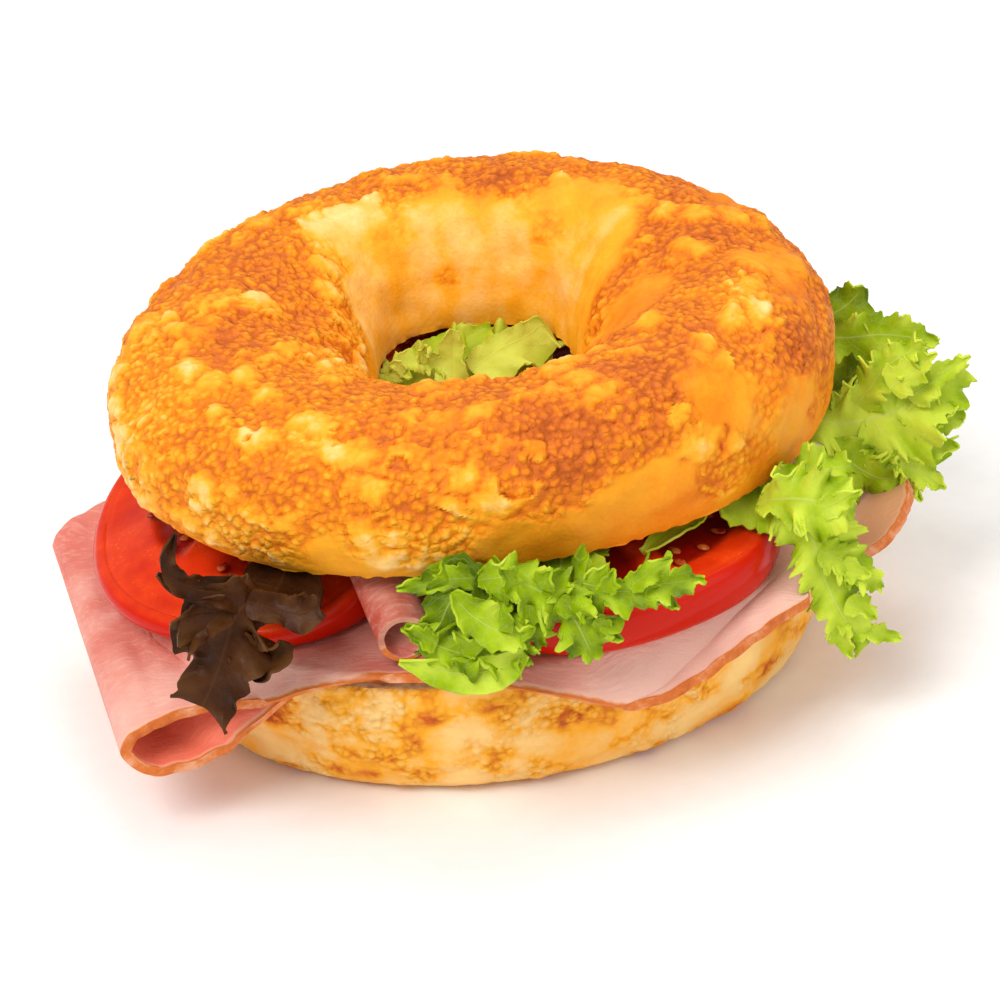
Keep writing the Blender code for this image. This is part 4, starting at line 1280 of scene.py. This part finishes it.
LEAVES = {
    "leaf_right_back": ("green", [
        blade([(20, 24, 38), (34, 20, 38.3), (46, 17, 38.2), (55, 16, 37.8), (62, 15.5, 37.2),
              (70, 15, 37.2), (78.5, 15, 35.2)], [UP, UP, UP, OUT, FRONT, FRONT, FRONT],
              [5, 7, 8, 4, 3.2, 3.4, 0.3], [5, 7, 8, 4.5, 5.6, 4.6, 0.4], frill=1.2, wave=10, bite=0.8,
              dark=0.42, stations=190),
        blade([(50, 19, 37), (57, 20.5, 37.5), (63, 21, 39.8), (67, 21.5, 43.3)],
              [OUT, FRONT, FRONT_LEFT, FRONT], [2, 4, 3.6, 0.3], [2, 5, 5.5, 0.4], frill=1.1, wave=9,
              bite=0.7, dark=0.55),
    ]),
    "leaf_right_mid": ("green", [
        blade([(20, 1, 38), (34, -3, 38.3), (46, -9, 38), (55, -11, 36), (63, -11.5, 36.5),
              (70, -11, 38.8), (78, -10.5, 45)], [UP, UP, UP, OUT, FRONT, FRONT_HIGH, FRONT],
              [6, 8, 9, 7, 5.5, 4, 0.5], [6, 8, 9, 7, 8.5, 6.5, 1.0], frill=1.5, wave=10, bite=1.8,
              tooth=3.2, dark=0.08, cup=-0.8, stations=210),
        blade([(62, -11.5, 36.5), (66.5, -12.5, 32), (70, -12.5, 28), (72.5, -12.5, 24.3)],
              [FRONT, FRONT_HIGH, FRONT, FRONT], [4, 6, 4.5, 0.4], [4, 4.5, 3.4, 0.3], frill=1.4, wave=7,
              bite=1.9, tooth=3.4, dark=0.16),
        blade([(67, -11, 38), (73, -11.5, 37), (78, -11, 34.5)], [FRONT, FRONT_RIGHT, FRONT],
              [3, 3.6, 0.3], [3, 3.8, 0.3], frill=1.2, wave=6, bite=1.5, dark=0.2),
        blade([(58, -9.5, 35), (62.5, -9.5, 40.2), (65.5, -9.5, 44.2), (69, -10, 47),
              (72.3, -10.5, 48.4)], [FRONT, FRONT_LEFT, FRONT, FRONT_HIGH, FRONT],
              [3.2, 2.8, 2.6, 2.2, 0.3], [3.2, 3.0, 2.8, 2.4, 0.3], frill=1.7, wave=4.6, tooth=2.1,
              dark=0.18),
        # A blade behind the others, painted dark for the shade it lies in
        blade([(52, -4, 37.4), (60, -5, 38.6), (66.5, -5.5, 40)], [OUT, FRONT, FRONT], [3, 4.5, 1],
              [3, 5, 1], frill=1.2, bite=0.9, dark=0.6),
        blade([(56, -14, 34), (59.5, -15.5, 30.5), (63.5, -16, 28), (67.5, -15.5, 27.5)],
              [FRONT, FRONT, FRONT_LOW, FRONT], [3, 4, 3, 0.4], [3, 3.4, 2.6, 0.4], wave=5.5, bite=1.5,
              tooth=2.4, dark=0.35),
    ] + fingers([((69, -12, 40), (79, -12, 46.8)), ((69, -12.5, 36), (77, -13, 38.4)),
                 ((69, -13, 32), (77, -13.5, 31)), ((67.5, -13, 29), (74.6, -13.5, 23.4)),
                 ((65, -13, 30), (70.6, -14, 21.8)), ((66, -12, 42), (73.5, -12.5, 48.2))], 2.8, 0.1)),
    "leaf_right_low": ("green", [
        blade([(24, -20, 38), (39, -32, 38.3), (46, -39, 38.6), (49, -43.5, 34.5), (50.5, -44.5, 28.5),
              (53, -45, 22), (57, -44.8, 15.2)], [UP, UP, FRONT_HIGH, FRONT, FRONT_RIGHT, FRONT, FRONT],
              [6, 8, 6.5, 7, 6.5, 4.2, 0.8], [6, 8, 5, 3.6, 3.2, 2.8, 1.6], frill=1.1, wave=13, bite=1.4,
              tooth=4.2, dark=0.26, cup=-0.8, stations=210),
        blade([(41.5, -39.5, 39.8), (45.5, -43, 42), (50, -45, 42.3), (55.5, -44.5, 40.5)],
              [FRONT_HIGH, FRONT, FRONT, FRONT], [2, 4.6, 4.8, 0.6], [2, 4.2, 5, 0.6], frill=2.0,
              wave=5.5, bite=1.5, tooth=2.3, dark=0.2),
        blade([(52.5, -44.5, 21), (57, -44, 17.2), (62.6, -43.5, 15)], [FRONT, FRONT_HIGH, FRONT],
              [1.6, 1.8, 0.3], [1.6, 1.5, 0.3], frill=0.7, wave=5, bite=0.9, dark=0.24, stations=70),
        blade([(50, -44, 33), (55, -44.5, 30), (59.5, -44, 25)], [FRONT, FRONT_RIGHT, FRONT],
              [2.2, 2.8, 0.4], [2.2, 2.6, 0.4], frill=1.2, wave=4.5, bite=1.2, tooth=2.2, stations=90),
        blade([(42, -35, 38.2), (46, -37, 40), (51, -37.5, 43), (56, -37, 43.2)],
              [FRONT_HIGH, FRONT, FRONT_HIGH, FRONT], [2, 3.4, 3.4, 0.5], [2, 4, 5, 0.8], frill=1.5,
              wave=5, tooth=2.4, dark=0.34),
    ] + fingers([((54, -45, 24), (58.5, -45.5, 20.6)), ((52.5, -45, 19.5), (54.4, -45.5, 13.8)),
                 ((53, -45, 30), (57.6, -45.5, 28.6)), ((50, -45.5, 41), (56.5, -46, 44.2))], 1.9, 0.22)),
    "leaf_front_left": ("green", [
        blade([(-10, -34, 38.2), (-7, -46, 38.4), (-5.5, -54.5, 38.6), (-5, -60, 42.3), (-7.5, -63, 39.8),
              (-10, -64.5, 34.3)], [UP, UP, OUT, FRONT, FRONT, FRONT], [5, 6, 5, 4.6, 3.4, 1.2],
              [5, 6, 5, 4, 3, 1.6], frill=1.0, bite=0.7, dark=0.5, stations=170),
        blade([(-1.5, -58.8, 42.6), (-6, -60, 43.6), (-10.5, -60, 43.3), (-14.2, -60, 42.8)],
              [FRONT, FRONT_HIGH, FRONT, FRONT], [1.6, 1.7, 1.2, 0.2], [1.6, 1.8, 1.1, 0.2], frill=0.5,
              wave=6, bite=0.6, dark=0.35, stations=80),
        blade([(-6.2, -64.8, 44.4), (-4, -66, 41.4), (-0.5, -66.6, 38.6), (3.6, -66.4, 37.4)],
              [FRONT_RIGHT, FRONT_HIGH, FRONT_HIGH, FRONT], [0.8, 3.0, 3.2, 1.6], [0.8, 2.4, 3.0, 2.0],
              frill=0.8, wave=7, bite=0.5, dark=0.16, stations=100),
        blade([(-13.4, -64.5, 39.4), (-9, -65.6, 36), (-4, -66.4, 34.2), (1, -66.4, 34),
              (4.6, -66, 35.2)], [FRONT, FRONT, FRONT_HIGH, FRONT, FRONT], [0.5, 3.2, 3.2, 3.4, 1.0],
              [0.5, 2.4, 2.2, 2.4, 1.0], frill=1.5, wave=4.8, bite=1.6, tooth=2.5, dark=0.34),
        blade([(-14.8, -66, 34.2), (-9.5, -67.2, 32.8), (-4.5, -67.8, 32.2), (0, -67.6, 32.6),
              (3.6, -67, 34.4)], [FRONT_LOW, FRONT, FRONT, FRONT, FRONT], [0.3, 1.6, 2.0, 1.8, 0.8],
              [0.3, 2.3, 3.0, 2.6, 0.8], frill=0.35, wave=12, bite=0.12, dark=0.04, stations=110),
    ] + fingers([((-9, -66, 36.5), (-14, -66.5, 40)), ((-3, -67, 35), (-6.5, -67.4, 39.4)),
                 ((1, -66.6, 36), (5.6, -66.8, 38.6))], 1.5, 0.3)),
    "leaf_front_mid": ("green", [
        blade([(2.5, -46, 38.2), (2.5, -55, 38.4), (2, -60.5, 41.5), (4, -64, 39), (6.2, -65.5, 34.2)],
              [UP, OUT, FRONT, FRONT, FRONT], [3, 4, 4.4, 3.2, 0.4], [3, 4, 4.4, 2.6, 0.4], wave=6,
              bite=1.2, tooth=2.6, dark=0.42),
        blade([(-2.2, -60, 43), (2, -62.5, 44.6), (6, -63.5, 43), (9.5, -64, 41), (13.2, -64, 40)],
              [FRONT, FRONT_HIGH, FRONT, FRONT_LEFT, FRONT], [1.2, 3.0, 3.4, 3.0, 0.6],
              [1.2, 3.4, 4.0, 3.2, 0.6], frill=2.1, wave=4.9, bite=1.6, tooth=2.2, dark=0.22),
        blade([(0.5, -63.6, 42.5), (0.2, -65.2, 39.6), (-1.8, -66, 37)], [FRONT, FRONT_LEFT, FRONT],
              [1.5, 2.2, 0.5], [1.5, 2.0, 0.5], wave=4, bite=0.9, tooth=2, stations=80),
    ] + fingers([((3, -63.8, 44), (1, -64.6, 48)), ((7, -64.4, 43.5), (8.6, -65, 47.2)),
                 ((9, -64.6, 41), (14, -65.4, 38.6)), ((5, -64.6, 41), (4.2, -66.2, 36.6))], 1.7, 0.26)),
    "leaf_front_right": ("green", [
        blade([(15, -34, 38.2), (11, -46, 38.4), (10, -56, 38.6), (12.5, -62, 42.4), (18.5, -64, 41.6),
              (24, -64.2, 42.2), (30.6, -64.2, 42.6)], [UP, UP, OUT, FRONT, FRONT, FRONT_HIGH, FRONT],
              [5, 6, 5, 2.4, 1.9, 2.4, 0.3], [5, 6, 5, 3.4, 2.8, 2.8, 0.3], frill=0.8, bite=2.1,
              tooth=4.2, stations=190),
        blade([(19.5, -64.3, 42.4), (22.6, -65, 44.8), (25.9, -65.2, 47.3)], [FRONT, FRONT_HIGH, FRONT],
              [1.2, 1.4, 0.2], [1.2, 1.6, 0.2], frill=0.5, wave=5, bite=0.7, dark=0.22, stations=60),
        blade([(10.2, -62.6, 43), (10.8, -65, 40), (12.4, -65.8, 35.6), (13.6, -66, 31.6)],
              [FRONT, FRONT_LEFT, FRONT, FRONT], [2.2, 4.2, 4.0, 0.5], [1.6, 2.8, 2.6, 0.5], frill=1.5,
              wave=5.2, bite=1.5, tooth=2.7, dark=0.26),
    ] + fingers([((22, -64.6, 42), (26.6, -65, 38.4)), ((14, -65.8, 38), (18, -66.2, 34.6)),
                 ((16, -64.4, 42), (17.6, -64.8, 46))], 1.4, 0.28)),
    "leaf_red": ("red", [
        blade([(-28, -33, 38.2), (-30.5, -42, 38.4), (-32.5, -50.5, 38.6), (-34, -56, 40.6),
              (-36.6, -58.6, 41.6), (-38.8, -60.2, 40), (-40.2, -61.2, 36.4), (-42, -61.7, 32),
              (-44.8, -61.8, 26.2)], [UP, UP, OUT, FRONT_HIGH, FRONT, FRONT_RIGHT, FRONT, FRONT_LEFT,
              FRONT], [5, 6, 6, 3.4, 5.2, 7.4, 6.4, 4.8, 4.2], [5, 6, 6, 3.2, 4.4, 7.2, 6.4, 4.4, 4.6],
              frill=1.5, wave=10, bite=0.6, tooth=7, stations=210),
        blade([(-37.5, -57.6, 43.2), (-42.3, -59.6, 45), (-45.8, -60.2, 47.8), (-46.8, -60.2, 51.6),
              (-45.1, -59.8, 55.6)], [FRONT, FRONT_HIGH, FRONT_LEFT, FRONT, FRONT],
              [3.0, 2.2, 1.5, 1.0, 0.2], [2.2, 2.0, 1.5, 1.0, 0.2], frill=1.1, wave=7, bite=0.15, tooth=6,
              dark=0.4, stations=110),
        blade([(-43, -59.6, 45.4), (-46, -60, 46.6), (-48.8, -60, 49)], [FRONT] * 3, [1.3, 1.2, 0.2],
              [1.3, 1.3, 0.2], frill=0.3, wave=6, bite=0.1, tooth=6, dark=0.35, stations=50),
        blade([(-36.5, -58.6, 42), (-32, -59.8, 40.8), (-28.6, -60.8, 40.6), (-25.8, -60.8, 41.4)],
              [FRONT, FRONT_HIGH, FRONT, FRONT_LEFT], [2.2, 2.0, 2.3, 1.2], [2.2, 2.2, 2.7, 1.4],
              frill=1.0, wave=6, bite=0.4, tooth=4, dark=0.34, stations=90),
        blade([(-39, -59.8, 36), (-36, -60.8, 33.8), (-33.6, -61.8, 33.8), (-32, -61.8, 36.8)],
              [FRONT, FRONT_LEFT, FRONT_HIGH, FRONT_RIGHT], [2, 2, 2, 1.0], [2.4, 3.2, 3.0, 1.2],
              frill=0.9, wave=6, bite=0.3, tooth=4, dark=0.2, cup=1.6, stations=80),
        blade([(-39, -59.6, 41.5), (-43, -61.2, 41.4), (-45.2, -62.2, 39.4), (-45.9, -61.8, 36.2)],
              [FRONT, FRONT_RIGHT, FRONT_HIGH, FRONT_LEFT], [2.2, 2.4, 2.2, 1.0], [2.2, 2.6, 2.2, 1.0],
              frill=0.9, wave=6, bite=0.3, tooth=4, dark=0.24, cup=1.6, stations=80),
    ]),
    "leaf_back": ("green", [
        blade([(2, 34, 38.2), (-5, 44, 38.2), (-12, 53.5, 38), (-18.6, 60.6, 35.5), (-23, 64, 31.4)],
              [UP, UP, OUT * -0.4 + UP, BACK, BACK], [5, 8, 8, 9, 1.0], frill=1.9, wave=7, bite=1.7,
              dark=0.25, stations=170),
        blade([(-9, 57, 37.5), (-5, 62, 36.5), (-2.4, 65, 33.4)], [BACK] * 3, [3, 5, 0.6], frill=1.6,
              wave=5, bite=1.4, tooth=2.4, stations=90),
    ]),
    "leaf_back_left": ("green", [
        blade([(-26, 20, 38.2), (-38, 30, 38.2), (-48, 38, 38), (-53, 41, 36.5), (-56, 43, 33)],
              [UP, UP, BACK_LEFT + UP, BACK_LEFT, BACK_LEFT], [5, 7, 8, 7, 1.0], [5, 7, 9, 8, 1.0],
              frill=1.8, wave=7, bite=1.6, dark=0.28, stations=150),
    ]),
    "leaf_hole": ("pale", [
        blade([(-21, 6, 37.8), (-12, 8, 38), (-4, 12, 38.6), (4, 14, 38.6), (13, 15, 37.8)],
              [Vector((0, -0.3, 0.9))] * 5, [3, 6, 8, 9, 8], [5, 9, 9, 9, 8], frill=1.6, wave=7, bite=1.1,
              dark=0.36),
        blade([(-4.4, 8.6, 38.4), (-4, 10.6, 41.4), (-3.8, 11.6, 44), (-3, 12, 46.8)],
              [FRONT, FRONT_LEFT, FRONT, FRONT], [2.8, 2.2, 1.8, 0.8], [2.8, 2.2, 1.8, 0.6], frill=0.7,
              wave=6, bite=0.35, tooth=3.4, dark=-0.08, stations=90),
        blade([(-1, 11, 39.4), (4, 14.6, 41), (9.5, 17, 42.4), (14.4, 18, 46)],
              [FRONT_HIGH, FRONT_HIGH, FRONT, FRONT], [2, 2.6, 2.0, 0.3], [4, 5.4, 4.6, 1.2], frill=0.8,
              bite=0.4, tooth=4, dark=0.0, stations=110),
        blade([(-16.5, 10, 39.4), (-13.4, 11, 41.2), (-9.6, 11.4, 42.2), (-6, 11.4, 41)],
              [FRONT_HIGH] * 4, [1.2, 1.8, 1.7, 1.2], [1.6, 2.4, 2.2, 1.6], frill=0.9, wave=4.5, bite=0.9,
              tooth=2.4, dark=0.12, stations=90),
        blade([(-13, 14, 39), (-9, 17, 40.4), (-3, 19, 41), (3, 19.4, 42.6)], [FRONT_HIGH] * 4,
              [1.2, 1.7, 2.2, 0.8], [1.6, 2.4, 4, 2], frill=0.9, wave=7, bite=0.4, tooth=3, stations=90),
    ] + fingers([((-12, 9.6, 41), (-14.6, 10.4, 43.6)), ((-9, 10.6, 42), (-8, 10.4, 45.6)),
                 ((-15, 12, 40.4), (-15.2, 17, 42.6))], 1.0, 0.06)),
    "leaf_peek": ("pale", [
        blade([(34, -36, 37.6), (29, -41, 37.5), (23, -47, 37)], [UP] * 3, [1.5, 2.4, 0.5], frill=0.3,
              bite=0.2, dark=0.35, stations=60),
    ]),
}
# Painted shade added to whole leaves, or painted light below 0, on top of their blades' own shade
LEAF_SHADE = {"leaf_front_left": 0.12, "leaf_front_mid": 0.16, "leaf_front_right": 0.12,
              "leaf_right_mid": -0.04, "leaf_right_low": -0.1, "leaf_right_back": -0.1}


class SANDWICH_OT_leaves(bpy.types.Operator):
    """Model every salad leaf with its ruffled, toothed margin"""
    bl_idname = "sandwich.leaves"
    bl_label = "Salad Leaves"

    def execute(self, context):
        settings = context.scene.sandwich_leaf
        materials = {
            "green": salad_leaf("green_leaf", settings.lime, settings.green, settings.deep, settings.rib),
            "pale": salad_leaf("pale_leaf", settings.heart, settings.inner, settings.green, settings.heart),
            "red": salad_leaf("red_leaf", settings.red_edge, settings.red, settings.red_deep,
                              settings.red_edge),
        }
        for number, (node, (kind, blades)) in enumerate(LEAVES.items()):
            sheet = model_leaf(node + "_blade", blades, materials[kind], settings.thickness,
                               LEAF_SHADE.get(node, 0.0), number * 3.7 + 0.5)
            settle(sheet, node)
        return {"FINISHED"}


# Stage

def studio_paper(name, colour):
    """Matt white studio paper: a fine, dull grain."""
    material, add, place, _ = new_material(name)
    grain = add("ShaderNodeTexNoise", {"Vector": place, "Scale": per_mm(4.0), "Detail": 2.0})
    tint = add("ShaderNodeValToRGB", {"Fac": grain}, [(0.3, toned(colour, (0.97,) * 3)), (0.7, colour)])
    return set_shader(material, Base_Color=tint, Roughness=0.9, Specular_IOR_Level=0.2)


def add_lamp(name, place, size, power, colour):
    """A square soft box that shines on the sandwich."""
    lamp = bpy.data.objects.new(name, bpy.data.lights.new(name, "AREA"))
    bpy.context.scene.collection.objects.link(lamp)
    lamp.data.size = size
    lamp.data.energy = power
    lamp.data.color = colour
    lamp.location = place
    lamp.rotation_euler = (LAMP_AIM - place).to_track_quat("-Z", "Y").to_euler()


# Soft boxes: name, place in metres, width, power and colour
LAMPS = (("key", (-0.38, -0.40, 0.78), 0.5, 5.6, (1.0, 0.99, 0.97)),
         ("top", (0.12, 0.30, 0.88), 0.6, 2.8, (1.0, 1.0, 1.0)),
         ("fill", (0.75, -0.55, 0.45), 0.7, 2.0, (1.0, 1.0, 1.0)))
WORLD_STRENGTH = 0.52
LAMP_AIM = MIDDLE + at(0, 0, 30)
CAMERA_AIM = MIDDLE + at(2, 0, 20.4)
SENSOR_WIDTH = 36.0
FOCAL_LENGTH = 107.1


class SANDWICH_OT_stage(bpy.types.Operator):
    """Set the pale floor, the soft lights and the camera"""
    bl_idname = "sandwich.stage"
    bl_label = "Stage"

    def execute(self, context):
        settings = context.scene.sandwich_stage
        bpy.ops.object.select_all(action="DESELECT")
        bpy.ops.mesh.primitive_grid_add(x_subdivisions=8, y_subdivisions=8, size=4.0)
        floor = context.object
        floor.name = "floor"
        floor.data.materials.append(studio_paper("studio_paper", settings.floor))
        world = bpy.data.worlds.new("studio")
        context.scene.world = world
        world.use_nodes = True
        background = world.node_tree.nodes["Background"]
        background.inputs["Color"].default_value = (1.0, 1.0, 1.0, 1.0)
        background.inputs["Strength"].default_value = WORLD_STRENGTH
        for name, place, size, power, colour in LAMPS:
            add_lamp(name, Vector(place), size, power, colour)
        context.scene.view_settings.view_transform = "Standard"
        data = bpy.data.cameras.new("camera")
        camera = bpy.data.objects.new("camera", data)
        context.scene.collection.objects.link(camera)
        rise = settings.elevation
        forward = Vector((0, math.cos(rise), -math.sin(rise)))
        camera.rotation_mode = "QUATERNION"
        camera.rotation_quaternion = Quaternion(forward, settings.roll) @ forward.to_track_quat("-Z", "Y")
        camera.location = CAMERA_AIM - forward * settings.distance
        data.sensor_width = SENSOR_WIDTH
        data.lens = FOCAL_LENGTH
        data.clip_start = 0.01
        context.scene.camera = camera
        return {"FINISHED"}


class SANDWICH_PT_panel(bpy.types.Panel):
    """Sizes, colours and steps of the sandwich"""
    bl_idname = "SANDWICH_PT_panel"
    bl_label = "Bagel Sandwich"
    bl_space_type = "VIEW_3D"
    bl_region_type = "UI"
    bl_category = "Sandwich"

    def draw(self, context):
        for pointer in SETTINGS:
            group = getattr(context.scene, pointer)
            box = self.layout.box()
            for key in group.__annotations__:
                box.prop(group, key)
        for step in STEPS:
            self.layout.operator(step.bl_idname)


SETTINGS = {"sandwich_bun": BunSettings, "sandwich_ham": HamSettings, "sandwich_tomato": TomatoSettings,
            "sandwich_leaf": LeafSettings, "sandwich_stage": StageSettings}
STEPS = (SANDWICH_OT_top_half, SANDWICH_OT_bottom_half, SANDWICH_OT_folded_ham, SANDWICH_OT_right_ham,
         SANDWICH_OT_rolled_ham, SANDWICH_OT_tomatoes, SANDWICH_OT_leaves, SANDWICH_OT_stage)


def register():
    """Make the settings, steps and panel known to Blender."""
    for pointer, group in SETTINGS.items():
        bpy.utils.register_class(group)
        setattr(bpy.types.Scene, pointer, bpy.props.PointerProperty(type=group))
    for step in STEPS:
        bpy.utils.register_class(step)
    bpy.utils.register_class(SANDWICH_PT_panel)


def unregister():
    """Take them away again."""
    bpy.utils.unregister_class(SANDWICH_PT_panel)
    for step in reversed(STEPS):
        bpy.utils.unregister_class(step)
    for pointer, group in reversed(list(SETTINGS.items())):
        delattr(bpy.types.Scene, pointer)
        bpy.utils.unregister_class(group)


def main():
    """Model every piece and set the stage."""
    register()
    bpy.ops.sandwich.top_half()
    bpy.ops.sandwich.bottom_half()
    bpy.ops.sandwich.folded_ham()
    bpy.ops.sandwich.right_ham()
    bpy.ops.sandwich.rolled_ham()
    bpy.ops.sandwich.tomatoes()
    bpy.ops.sandwich.leaves()
    bpy.ops.sandwich.stage()


if __name__ == "__main__":
    main()
